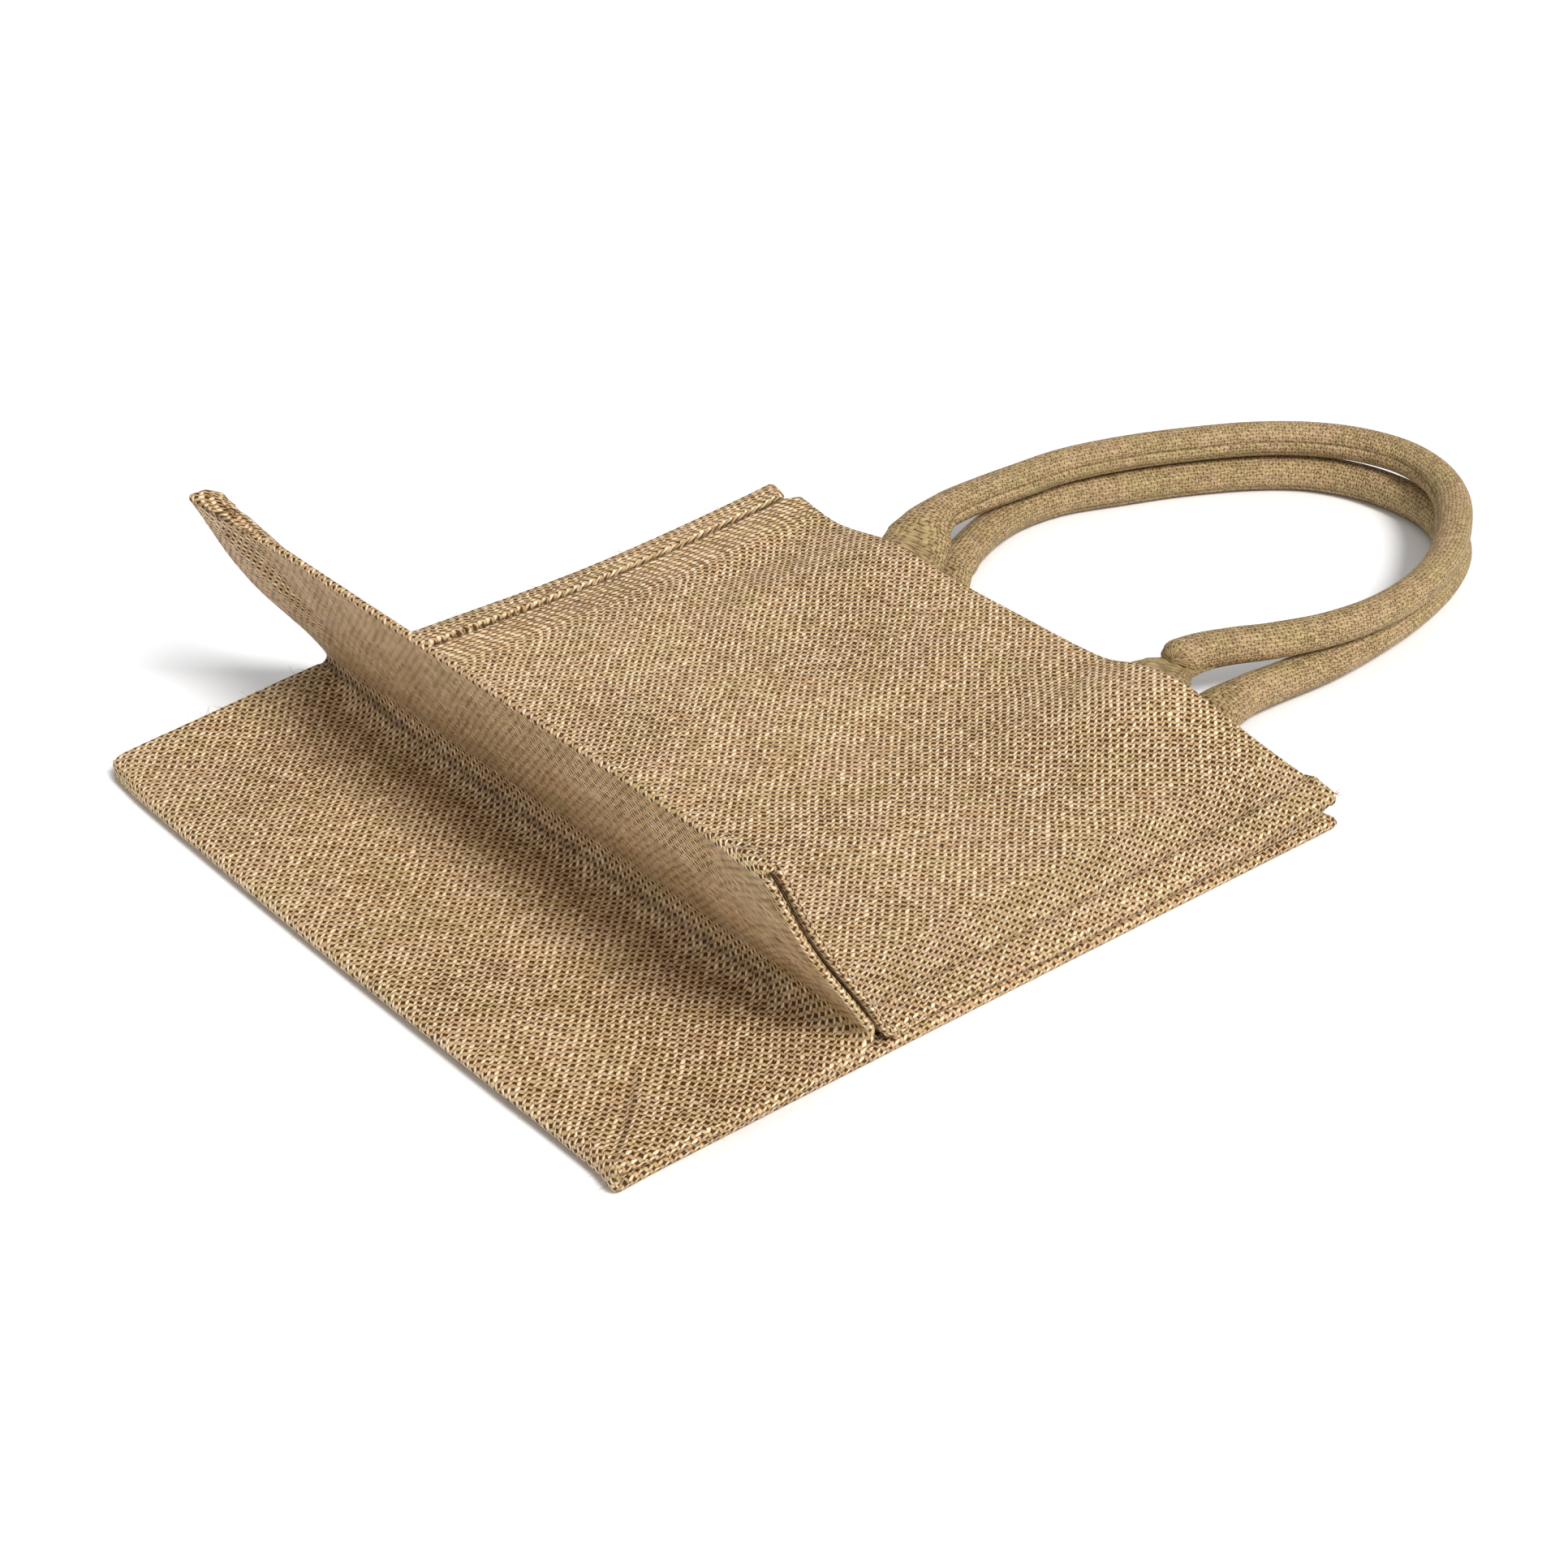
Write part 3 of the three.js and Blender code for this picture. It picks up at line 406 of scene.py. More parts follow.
SEAM_DEPTH = {  # thickness of the whole side seam
    "lower": 4.1, "fold": 3.7, "base": 3.7, "foot": 3.0, "left": 2.75, "crest": 2.5, "right": 2.75,
    "right_foot": 3.0, "upper": 3.8,
}
NEAR_WALL = ((100, 4.1), (160, 4.1), (200, 4.4), (250, 5.7), (280, 7.5), (290, 7.9), (296, 5.0), (302, 3.6))
NEAR_WALL_END = (262, 274)  # from here on the near edge's depth follows the table as it is
DEPTH_ROWS = 5  # the depth changes softly over this many rows to each side
ROUND = 1.9  # rounding of the seams' edges
TURNED = (10.0, 5.0, 1.6)  # how far the columns of the turned-in cloth lie from the rounding
ARC = (22, 45, 67, 90)  # degrees round the edge
WALL_STEPS = 2
HEM_RETURN = (26.0, 13.0, 4.0)  # how far the rows of the turned-in hem lie from its edge
HEM_ARC = (45, 90, 135, 180)
HEM_SPAN = {"lower": MOUTH - FOLD_BULGE, "upper": 200.0}  # length of a stretch, for the hem's return
EDGE_COLUMNS = ((17.0, 0.6), (42.0, 1.2), (WIDTH / 2, 3.2))  # to this distance from an edge, columns this far apart
FOLD_MIDDLE = 0.44  # share of the bottom fold, the zero of the flat coordinates
CREST_MIDDLE = 0.4
BODY_ROWS = (
    ("lower", 50), ("fold", 10), ("base", 66), ("foot", 14), ("left", 42),
    ("crest", 14), ("right", 40), ("right_foot", 12), ("upper", 104),
)


def crease_height(stretch, at, y):
    total = 0 * y
    for name, at0, y0, half_at, half_y, width, depth in CREASES:
        if name != stretch:
            continue
        length = math.hypot(half_at, half_y)
        du, dv = half_at / length, half_y / length
        along = (at - at0) * du + (y - y0) * dv
        aside = -(at - at0) * dv + (y - y0) * du
        beyond = np.maximum(np.abs(along) - length * 0.5, 0) / (length * 0.5)
        total = total + depth * np.exp(-((aside / width) ** 2)) * np.exp(-CREASE_FADE * beyond**2)
    return total


def seam_height(stretch, at, y):
    total = 0 * y
    if stretch not in SEAM_RELIEF:
        return total
    pull = 1 + STITCH_PULL * np.cos(2 * math.pi * at / STITCH)
    band_end, band_full, band_start = BAND
    share, beside, width = STITCH_RIM
    for (groove, band), distance in zip(SEAM_RELIEF[stretch], (y, WIDTH - y)):
        proud = smooth(GROOVE + band_end, GROOVE + band_full, distance) * smooth(ROUND, band_start, distance)
        rim = share * groove * np.exp(-(((distance - GROOVE + beside) / width) ** 2))
        total = total + band * proud + rim
        total = total - groove * pull * np.exp(-(((distance - GROOVE) / STITCH_WIDTH) ** 2))
    return total


def relief(stretch, t, y):
    """Height of the soft folds and of the stitch line over the plain surface."""
    if stretch not in FACE_FADE:
        return 0 * y
    x, _ = STRETCHES[stretch](t, y)
    at = {"left": FLAP_HEIGHT * t, "right": FLAP_HEIGHT * (1 - t)}.get(stretch, x)
    start, end = FACE_FADE[stretch]
    fade = smooth(0, start, t) * smooth(0, end, 1 - t)
    return (crease_height(stretch, at, y) + seam_height(stretch, at, y)) * fade


def face(stretch, t, y):
    """Point and outward direction of the cloth's face, one row."""
    step, aside = FACE_STEP
    du = outer(stretch, min(t + step, 1.0), y) - outer(stretch, max(t - step, 0.0), y)
    dv = outer(stretch, t, np.minimum(y + aside, WIDTH)) - outer(stretch, t, np.maximum(y - aside, 0))
    n = np.cross(du.T, dv.T)
    return outer(stretch, t, y).T, n / np.linalg.norm(n, axis=1, keepdims=True)


def body_rows():
    """(stretch, share, hem, reach) of each row; hem is how many degrees round the turned-in mouth edge it lies, and
    reach how far beyond that."""
    rows = [("lower", 0.0, 180, reach) for reach in HEM_RETURN]
    rows += [("lower", 0.0, angle, 0.0) for angle in reversed(HEM_ARC)]
    for stretch, count in BODY_ROWS:
        rows += [(stretch, k / count, 0, 0.0) for k in range(1 if stretch == "lower" else 0, count)]
    rows += [("upper", 1.0, angle, 0.0) for angle in HEM_ARC]
    rows += [("upper", 1.0, 180, reach) for reach in reversed(HEM_RETURN)]
    return rows


def inner_columns():
    near = [ROUND]
    for limit, step in EDGE_COLUMNS:
        count = round((limit - near[-1]) / step)
        near += np.linspace(near[-1], limit, count + 1)[1:].tolist()
    return np.array(near + [WIDTH - y for y in reversed(near[:-1])])


def turned_edge(depth):
    """Distance from the edge, drop and place on the cloth of the points from under the flange to its top."""
    radius = min(depth / 2, ROUND)
    wall = depth - 2 * radius
    points = [(radius + reach, depth, radius - radius * math.pi - wall - reach) for reach in TURNED]
    for turn in [math.radians(180 - angle) for angle in (0, *ARC)]:
        drop = depth - radius * (1 + math.cos(turn))
        points.append((radius * (1 - math.sin(turn)), drop, radius - radius * turn - wall))
    for share in [step / (WALL_STEPS + 1) for step in range(WALL_STEPS, 0, -1)]:
        points.append((0.0, radius + wall * share, radius - radius * math.pi / 2 - wall * share))
    for turn in [math.radians(angle) for angle in reversed(ARC)]:
        points.append((radius * (1 - math.sin(turn)), radius * (1 - math.cos(turn)), radius - radius * turn))
    return np.array(points).T


def seam_depths(rows):
    """Depth of the near and of the far edge, row by row."""
    far = np.array([SEAM_DEPTH[row[0]] for row in rows])
    near = far.copy()
    end = np.zeros(len(rows))
    middle = np.array([WIDTH / 2])
    for k, (stretch, t, _, _) in enumerate(rows):
        if stretch == "upper":
            x = float(upper(t, middle)[0][0])
            near[k] = curve(NEAR_WALL, x)
            end[k] = smooth(*NEAR_WALL_END, x)
    kernel = np.ones(2 * DEPTH_ROWS + 1) / (2 * DEPTH_ROWS + 1)
    soft = [np.convolve(np.pad(depth, DEPTH_ROWS, mode="edge"), kernel, mode="valid") for depth in (near, far)]
    return [lerp(soft[0], near, end), soft[1]]


def face_rows(stretch, share, y):
    """As face, where each column may have its own share along the stretch."""
    if np.ndim(share) == 0 or np.ptp(share) == 0:
        return face(stretch, float(np.max(share)), y)
    point = np.empty((len(y), 3))
    normal = np.empty((len(y), 3))
    for value in np.unique(np.round(share, 6)):
        pick = np.abs(share - value) < 1e-6
        point[pick], normal[pick] = face(stretch, float(value), y[pick])
    return point, normal


def body_points():
    """Rows of the body cloth, their points, and each point's place across the flat cloth."""
    rows = body_rows()
    columns = inner_columns()
    edge = EDGE_COLUMNS[0][0]
    points, flats = [], []
    for (stretch, t, hem, reach), near, far in zip(rows, *seam_depths(rows)):
        near_y, near_drop, near_v = turned_edge(near)
        far_y, far_drop, far_v = turned_edge(far)
        near_edge = np.minimum(edge, columns)
        far_edge = np.minimum(edge, WIDTH - columns)
        inner = columns - (ROUND - min(near / 2, ROUND)) * (edge - near_edge) / (edge - ROUND)
        inner = inner + (ROUND - min(far / 2, ROUND)) * (edge - far_edge) / (edge - ROUND)
        y = np.concatenate([near_y, inner, WIDTH - far_y[::-1]])
        drop = np.concatenate([near_drop, np.zeros(len(inner)), far_drop[::-1]])
        v = np.concatenate([near_v, inner, WIDTH - far_v[::-1]])
        share = np.full_like(y, t)
        rise = relief(stretch, t, y) * (drop == 0)
        if hem:
            depth = np.where(y < WIDTH / 2, near, far)
            inside = smooth(SEAM - SEAM_SOFT, SEAM + SEAM_SOFT, np.minimum(y, WIDTH - y))
            hem_radius = lerp(depth / 2, HEM / 2, inside)
            angle = math.radians(hem)
            drop = np.maximum(drop, hem_radius * (1 - math.cos(angle)))
            round_off = np.sqrt(np.maximum(hem_radius**2 - (drop - hem_radius) ** 2, 0.0))
            back = hem_radius - np.minimum(hem_radius * math.sin(angle), round_off) + reach
            share = back / HEM_SPAN[stretch] if stretch == "lower" else 1 - back / HEM_SPAN[stretch]
            if reach:
                drop = lerp(depth / 2, drop, inside)
        point, normal = face_rows(stretch, share, y)
        points.append(point + normal * (rise - drop)[:, None])
        flats.append(v)
    return rows, np.array(points), np.array(flats)


def first_row(rows, stretch, share):
    return next(k for k, row in enumerate(rows) if row[0] == stretch and row[1] >= share)


def flat_lengths(points, rows):
    """Length along the cloth from the bottom fold, in each column; the turned edges follow the face beside them."""
    first = len(turned_edge(ROUND)[0])
    inner = points[:, first:-first]
    step = np.linalg.norm(np.diff(inner, axis=0), axis=2)
    length = np.vstack([np.zeros(inner.shape[1]), np.cumsum(step, axis=0)])
    length -= length[first_row(rows, "fold", FOLD_MIDDLE)]
    near = np.repeat(length[:, :1], first, axis=1)
    far = np.repeat(length[:, -1:], first, axis=1)
    return np.hstack([near, length, far])


# Meshes
def add_object(name, data):
    obj = bpy.data.objects.new(name, data)
    bpy.context.scene.collection.objects.link(obj)
    return obj


def mesh_object(name, verts, faces, uvs, material):
    mesh = bpy.data.meshes.new(name)
    mesh.from_pydata(((np.asarray(verts) - ORIGIN) * METRES).tolist(), [], faces)
    layer = mesh.uv_layers.new(name="flat")
    index = np.empty(len(mesh.loops), int)
    mesh.loops.foreach_get("vertex_index", index)
    layer.data.foreach_set("uv", np.asarray(uvs, float)[index].ravel())
    mesh.polygons.foreach_set("use_smooth", [True] * len(mesh.polygons))
    mesh.materials.append(material)
    mesh.update()
    return add_object(name, mesh)


def grid_faces(rows, columns, first=0, ring=False):
    """Quads between the rows of a grid of points. In a ring each row closes, and the quads turn the other way."""
    faces = []
    for start in range(first, first + (rows - 1) * columns, columns):
        for c in range(columns if ring else columns - 1):
            a, b = start + c, start + (c + 1) % columns
            faces.append((a, b, b + columns, a + columns) if ring else (a, a + columns, b + columns, b))
    return faces


def body_cloth(points, u, v, material):
    uvs = np.stack([u, v], axis=2).reshape(-1, 2)
    return mesh_object("jute_body", points.reshape(-1, 3), grid_faces(*points.shape[:2]), uvs, material)


# Gussets: a coarse sheet on the solid's wings, smoothed and thickened by modifiers
CORNER_SHARES = (0.125, 0.21, 0.29, 0.405, 0.52, 0.645, 0.78, 0.87, 0.93, 0.975)  # of the depth, in corner rows
CORNER_X = (12, 20, 28, 39, 50, 62, 75, 82, 85.5, 89)  # where these rows lie on the lower panel
OPEN_X = (92.5, 95.5, 99, 106, 125, 150, 180, 210, 240, 262, 280, 299)  # rows of full depth, up to the mouth
BASE_ROWS = [("base", t) for t in (0.1, 0.2, 0.29, 0.42, 0.55, 0.68, 0.85)] + [("foot", k / 6) for k in (0, 1, 2)]
LEFT_ROWS = [("left", t) for t in (0.88, 0.76, 0.65, 0.52, 0.38, 0.25, 0.1)] + [("foot", k / 6) for k in (6, 5, 4)]
RIGHT_ROWS = [("right", t) for t in (0.11, 0.22, 0.32, 0.45, 0.58, 0.71, 0.86, 0.93, 1.0)] + [("right_foot", 0.0)]
UPPER_OPEN = 104.0  # x at which the upper panel's rows of full depth begin
UPPER_ROWS = [("right_foot", k / 4) for k in (1, 2, 3, 4)]
UPPER_ROWS += [("upper", (x - UPPER_OPEN) / (UPPER_MOUTH - UPPER_OPEN)) for x in OPEN_X[4:]]
WING_ROOM = 2.4  # more space for the handles' flat ends, over these distances from the fold and from the side
WING_ROOM_X = (236.0, 266.0)
WING_ROOM_Y = (18.0, 38.0)
SEAM_LYING = 1.8  # thickness of the body's turned-in edge along the panels and along the flap
SEAM_STANDING = 1.2
PANEL_CLEAR = 0.9
SEAM_CLEAR = 0.4
WING_HALF = 0.5
GUSSET_CLOTH = 0.8
CREASE_BULGE = 1.8
WING_COLUMNS = 8
WING_FIRST = (0.8, 12, 14)  # depths of the first three columns
WING_NARROW = (0.4, 0.55)  # shares of the whole depth, for the second and the third where the wing is narrow
CORNER_PITCH = 10.0  # of the corner rows in the flat coordinates
CREASE_PITCH = 0.5
CREASE_STEPS = 4
GUSSET_LEVELS = 2  # of subdivision


def wing_point(stretch, t, depth, far):
    """Point of a gusset's wing beneath the cloth's face, at a depth from the side edge."""
    (point,), (normal,) = face(stretch, t, np.array([WIDTH - depth if far else depth], float))
    near_mouth = smooth(*WING_ROOM_X, point[0]) if stretch in ("lower", "upper") else 0.0
    layer, clear = CLOTH, PANEL_CLEAR
    if depth < SEAM:
        layer, clear = SEAM_STANDING if stretch in ("left", "right", "crest") else SEAM_LYING, SEAM_CLEAR
    room = WING_ROOM * smooth(*WING_ROOM_Y, depth)
    return point - normal * (lerp(layer, HEM + room, near_mouth) + clear + WING_HALF)


def wing_depths(limit):
    first, second, third = WING_FIRST
    second, third = min(second, limit * WING_NARROW[0]), min(third, limit * WING_NARROW[1])
    return [first, second] + list(np.linspace(third, limit, WING_COLUMNS - 2))


def gusset(name, far, material):
    verts, uvs, faces = [], [], []
    deep = np.array([0, -1.0 if far else 1.0, 0])

    def row(stretch, t, limit, u, upper_wing=False):
        for depth in wing_depths(limit):
            verts.append(wing_point(stretch, t, depth, far))
            uvs.append((u, 2 * GUSSET_HALF - depth if upper_wing else depth))
        return list(range(len(verts) - WING_COLUMNS, len(verts)))

    def lower_row(x, share):
        t = (MOUTH - x) / (MOUTH - FOLD_BULGE)
        return row("lower", t, share * GUSSET_HALF, MOUTH * (1 - t))

    def corner_rows(places, upper_wing=False):
        return [
            row(*place, share * GUSSET_HALF, CORNER_PITCH * k, upper_wing)
            for k, (place, share) in enumerate(zip(places, CORNER_SHARES))
        ]

    def crease(a, b, steps=CREASE_STEPS):
        """Rounds the fold between the deep ends of two wings."""
        low, high = verts[a], verts[b]
        middle = (low + high) / 2
        half = low - middle
        size = min(np.linalg.norm(half), CREASE_BULGE)
        made = [a]
        for k in range(1, steps):
            angle = math.pi * k / steps
            verts.append(middle + half * math.cos(angle) + deep * size * math.sin(angle))
            uvs.append((uvs[a][0], GUSSET_HALF + CREASE_PITCH * k))
            made.append(len(verts) - 1)
        return made + [b]

    def join(strips):
        for a, b in zip(strips, strips[1:]):
            faces.extend((a[k], b[k], b[k + 1], a[k + 1]) for k in range(len(a) - 1))

    lower_rows = [lower_row(x, share) for x, share in zip(CORNER_X, CORNER_SHARES)]
    lower_rows += [lower_row(x, 1.0) for x in OPEN_X]
    base_rows = corner_rows(BASE_ROWS)
    left_rows = corner_rows(LEFT_ROWS)
    foot_row = row("foot", 0.5, GUSSET_HALF, CORNER_PITCH * len(CORNER_SHARES))
    upper_rows = corner_rows(RIGHT_ROWS, True)
    for place, x in zip(UPPER_ROWS, OPEN_X):
        upper_rows.append(row(*place, GUSSET_HALF, MOUTH * (1 - (MOUTH - x) / (MOUTH - FOLD_BULGE)), True))
    base_rows.append(foot_row)
    left_rows.append(foot_row)
    for wing in (lower_rows, upper_rows, base_rows, left_rows):
        join(wing)
    low = [crease(a[-1], b[-1]) for a, b in zip(lower_rows, base_rows[:-1])]
    high = [crease(a[-1], b[-1]) for a, b in zip(left_rows[:-1], upper_rows)]
    last = len(CORNER_SHARES)
    low.append(crease(lower_rows[last][-1], foot_row[-1]))
    high.append(crease(foot_row[-1], upper_rows[last][-1]))
    join(low)
    join(high)
    joined = [low[-1] + high[-1][1:]]
    for a, b in zip(lower_rows[last + 1:], upper_rows[last + 1:]):
        joined.append(crease(a[-1], b[-1], 2 * CREASE_STEPS))
    join(joined)
    obj = mesh_object(name, verts, faces, uvs, material)
    round_off = obj.modifiers.new("smooth", "SUBSURF")
    round_off.levels = round_off.render_levels = GUSSET_LEVELS
    thick = obj.modifiers.new("cloth", "SOLIDIFY")
    thick.thickness = GUSSET_CLOTH * METRES
    thick.offset = 0.0
    return obj


# Handles: rows are x, y, z of the middle, half width, half height and flat share. Without the last three the section
# is round, and z is None where the webbing lies under the hem.
ROUND_SECTION = (7, 6.8, 0)
LOWER_HANDLE = (
    (273, 207, 3.8, 17, 1.2, 1), (288, 207, 3.8, 17, 1.2, 1), (303, 207, 3.9, 16.5, 1.3, 1),
    (313, 208.5, 4.4, 13.5, 2.8, 0.5), (323, 211.5, 6, 9, 5.4, 0), (336, 217, 7, 7.2, 6.7, 0),
    (352, 223.5, 7), (371, 228, 7), (394, 227, 7), (420, 218, 7), (446, 207.5, 7), (472, 193, 7), (488, 179, 7),
    (497, 163, 7), (500.5, 146, 7), (499, 128, 7), (491, 110.6, 7), (476.8, 95.4, 7), (454, 83.4, 7),
    (427.8, 75.8, 7), (400, 71.6, 7), (375, 70, 7), (353, 71, 7.2, 7, 6.9, 0), (337, 71.8, 7.4, 7.6, 6.9, 0),
    (323, 72, 6.6, 10.2, 5.8, 0), (313, 71.5, 4.8, 14, 3, 0.5), (303, 71, 3.9, 16.5, 1.3, 1),
    (288, 71, 3.8, 17, 1.2, 1), (273, 71, 3.8, 17, 1.2, 1),
)
UPPER_HANDLE = (
    (273, 215, None, 17, 1.2, 1), (288, 215, None, 17, 1.2, 1), (303, 215.5, None, 17, 1.2, 1),
    (307, 217, 16.4, 16.5, 1.5, 0.9), (313, 220.5, 17.8, 14.4, 2.4, 0.6), (321, 225, 19.6, 10.4, 4.6, 0.1),
    (333, 227.2, 20.8, 7.8, 6.6, 0), (352, 228, 21), (372, 227.4, 21), (393.8, 226.1, 21), (419.2, 219.6, 21),
    (446, 208.6, 21), (472.4, 194.2, 21), (489, 180, 21), (499.5, 164.6, 21), (504.5, 146, 21), (501.3, 127.6, 21),
    (490.3, 109.6, 21), (472.5, 93.6, 21, 6.8, 6.6, 0), (451, 80, 20.8, 6.5, 6.3, 0), (426.5, 70.9, 20.6, 6.3, 6.2, 0),
    (400, 67.8, 20.4, 6.2, 6.1, 0), (376, 70.2, 20.5, 6.4, 6.2, 0), (354, 76.8, 20.7, 6.8, 6.5, 0),
    (339, 84, 20.6, 7, 6.6, 0), (328, 88.6, 20.2, 7.6, 6.6, 0), (320, 90.4, 20.0, 8.2, 6.2, 0),
    (315.5, 90.4, 20.1, 8.4, 5.6, 0),
)
UPPER_STRAP = (  # the flat end that comes out of the near end of the upper tube
    (334, 86, 17.5, 5, 1.2, 0.8), (325, 88, 17.0, 6, 1.3, 0.9), (317, 89.5, 17.4, 8, 1.3, 0.9),
    (311, 88.5, 18.4, 11.5, 1.3, 0.95), (306, 87.6, 19.5, 15, 1.2, 1), (303, 87.4, None, 16.6, 1.2, 1),
    (288, 88, None, 17, 1.2, 1), (273, 88, None, 17, 1.2, 1),
)
STRAP_OVERLAP = 20.0  # how far the strap reaches into the tube
RING_STEP = 1.1
RING_SIDES = 56
ROUND_LENGTH = 44.0  # round the tube
SHOULDER = 5.0  # length over which a tube's end closes
FLAT_POWER = 0.42  # of a flat section's corners
HEM_REACH = (303.0, 320.0)  # between these x the webbing leaves the hem
HANDLE_SEAM = 168  # where round the section the webbing's sewn edge lies, in degrees; 180 is the loop's inner side
HANDLE_SEAM_LOWER = 222
SEWN_EDGE = ((-0.75, 0.0, 5.5), (0.45, 24.0, 16.0))  # its groove and ridge: height, degrees from the seam, width
SEWN_EDGE_FLAT = 0.4  # flat share at which they end


def sewn_height(x, y):
    return float(upper_top(np.array([x], float), np.array([y], float))[0]) - HEM - SEWN_GAP - WEBBING / 2


def spline_point(points, t):
    """A point and its direction on a centripetal Catmull-Rom curve through the points."""
    last = len(points) - 1
    place = last * t
    i = min(int(place), last - 1)
    weight = place - i
    p1, p2 = points[i], points[i + 1]
    p0 = points[i - 1] if i > 0 else 2 * p1 - p2
    p3 = points[i + 2] if i + 2 <= last else 2 * p2 - p1
    d0, d1, d2 = (max(float(np.sum((a - b) ** 2)) ** 0.25, 1e-4) for a, b in ((p0, p1), (p1, p2), (p2, p3)))
    t1 = ((p1 - p0) / d0 - (p2 - p0) / (d0 + d1) + (p2 - p1) / d1) * d1
    t2 = ((p2 - p1) / d1 - (p3 - p1) / (d1 + d2) + (p3 - p2) / d2) * d1
    c2 = -3 * p1 + 3 * p2 - 2 * t1 - t2
    c3 = 2 * p1 - 2 * p2 + t1 + t2
    point = p1 + t1 * weight + c2 * weight**2 + c3 * weight**3
    tangent = t1 + 2 * c2 * weight + 3 * c3 * weight**2
    return point, tangent / np.linalg.norm(tangent)


def superellipse(wave, size, power):
    """One coordinate of a section from the cosine or sine of its angles; a small power squares its corners."""
    return np.sign(wave) * np.abs(wave) ** power * size


def follow(route):
    """The stops of the rings as (row, share of the way to the next), their points and directions, and how far
    along the route each lies."""
    places = [np.array([x, y, sewn_height(x, y) if z is None else z], float) for x, y, z, *_ in route]
    last = len(route) - 1
    stops = []
    for i in range(last):
        steps = max(2, round(float(np.linalg.norm(places[i + 1] - places[i])) / RING_STEP))
        stops += [(i, k / steps) for k in range(steps)]
    stops.append((last - 1, 1.0))
    line = [spline_point(places, min((i + share) / last, 1.0)) for i, share in stops]
    gaps = [0.0] + [float(np.linalg.norm(b[0] - a[0])) for a, b in zip(line, line[1:])]
    return stops, line, np.cumsum(gaps)


def sweep(route, seam, start=0.0, rounded=False, on_hem=False):
    """Rings along the route, their flat coordinates, and the length at its end.

    rounded closes the last end in a shoulder; on_hem bends the flat end to the mouth.
    """
    route = [row + ROUND_SECTION if len(row) == 3 else row for row in route]
    stops, line, travelled = follow(route)
    total = float(travelled[-1])
    angles = 2 * math.pi * (np.arange(RING_SIDES) + 0.5) / RING_SIDES
    off = (np.degrees(angles) - seam + 180) % 360 - 180
    ridge = sum(height * np.exp(-(((off - place) / width) ** 2)) for height, place, width in SEWN_EDGE)
    rings, uvs = [], []
    for (i, share), (point, tangent), at in zip(stops, line, travelled):
        ease = share * share * (3 - 2 * share)
        wide, high, flat = (lerp(route[i][c], route[i + 1][c], ease) for c in (3, 4, 5))
        side = np.array([-tangent[1] * (1 - flat), tangent[0], 0])
        side /= np.linalg.norm(side)
        up = np.cross(tangent, side)
        power = lerp(1.0, FLAT_POWER, flat)
        aside = superellipse(np.cos(angles), wide, power)
        above = superellipse(np.sin(angles), high, power)
        scale = 1 + ridge * (1 - smooth(0.0, SEWN_EDGE_FLAT, flat)) / ROUND_SECTION[0]
        if rounded:
            to_end = min((total - at) / SHOULDER, 1.0)
            scale = scale * math.sqrt(max(1 - (1 - to_end) ** 2, 0.0))
        ring = point + np.outer(aside * scale, side) + np.outer(above * scale, up)
        sewn = route[i][2] is None and (share == 0 or route[i + 1][2] is None)
        near_hem = 1.0 if sewn else 1 - float(smooth(*HEM_REACH, point[0]))
        if on_hem and near_hem > 0:
            bent = np.array([sewn_height(min(p[0], UPPER_MOUTH), p[1]) for p in ring]) + above
            ring[:, 2] = lerp(ring[:, 2], bent, near_hem)
        rings.append(ring)
        uvs.append(np.stack([np.full(RING_SIDES, start + at), ROUND_LENGTH * (off % 360) / 360], axis=1))
    return np.array(rings), np.array(uvs), start + total


def handle(name, parts, material):
    """One piece of several sweeps, with closed ends; the flat coordinates run on across the sewn edge."""
    verts, faces, corner_uvs = [], [], []
    for rings, uvs, _ in parts:
        first, flat_uvs = len(verts), uvs.reshape(-1, 2)
        quads = grid_faces(len(rings), RING_SIDES, first, ring=True)
        for quad in quads:
            edge = [flat_uvs[k - first] for k in quad]
            if edge[1][1] < edge[0][1] - ROUND_LENGTH / 2:
                edge[1:3] = [corner + np.array([0, ROUND_LENGTH]) for corner in edge[1:3]]
            corner_uvs.extend(edge)
        end = first + len(flat_uvs)
        caps = [tuple(range(first + RING_SIDES - 1, first - 1, -1)), tuple(range(end - RING_SIDES, end))]
        corner_uvs.extend(flat_uvs[k - first] for cap in caps for k in cap)
        faces += quads + caps
        verts.extend(rings.reshape(-1, 3))
    obj = mesh_object(name, verts, faces, np.zeros((len(verts), 2)), material)
    obj.data.uv_layers["flat"].data.foreach_set("uv", np.array(corner_uvs, float).ravel())
    return obj


# Materials
def add_node(tree, kind, inputs, **settings):
    """A new node; inputs are its slots by name or number, with a number, a colour or a socket each."""
    node = tree.nodes.new("ShaderNode" + kind)
    for key, value in settings.items():
        setattr(node, key, value)
    for slot, item in inputs.items():
        value = item.value if isinstance(item, Socket) else item
        if isinstance(value, bpy.types.NodeSocket):
            tree.links.new(value, node.inputs[slot])
        else:
            node.inputs[slot].default_value = (*value, 1.0) if isinstance(value, tuple) else value
    return node


def operation(name):
    """A method that puts a math node after this number and the others."""
    def method(self, *others):
        node = add_node(self.tree, "Math", dict(enumerate((self, *others))), operation=name)
        return Socket(self.tree, node.outputs[0])

    return method


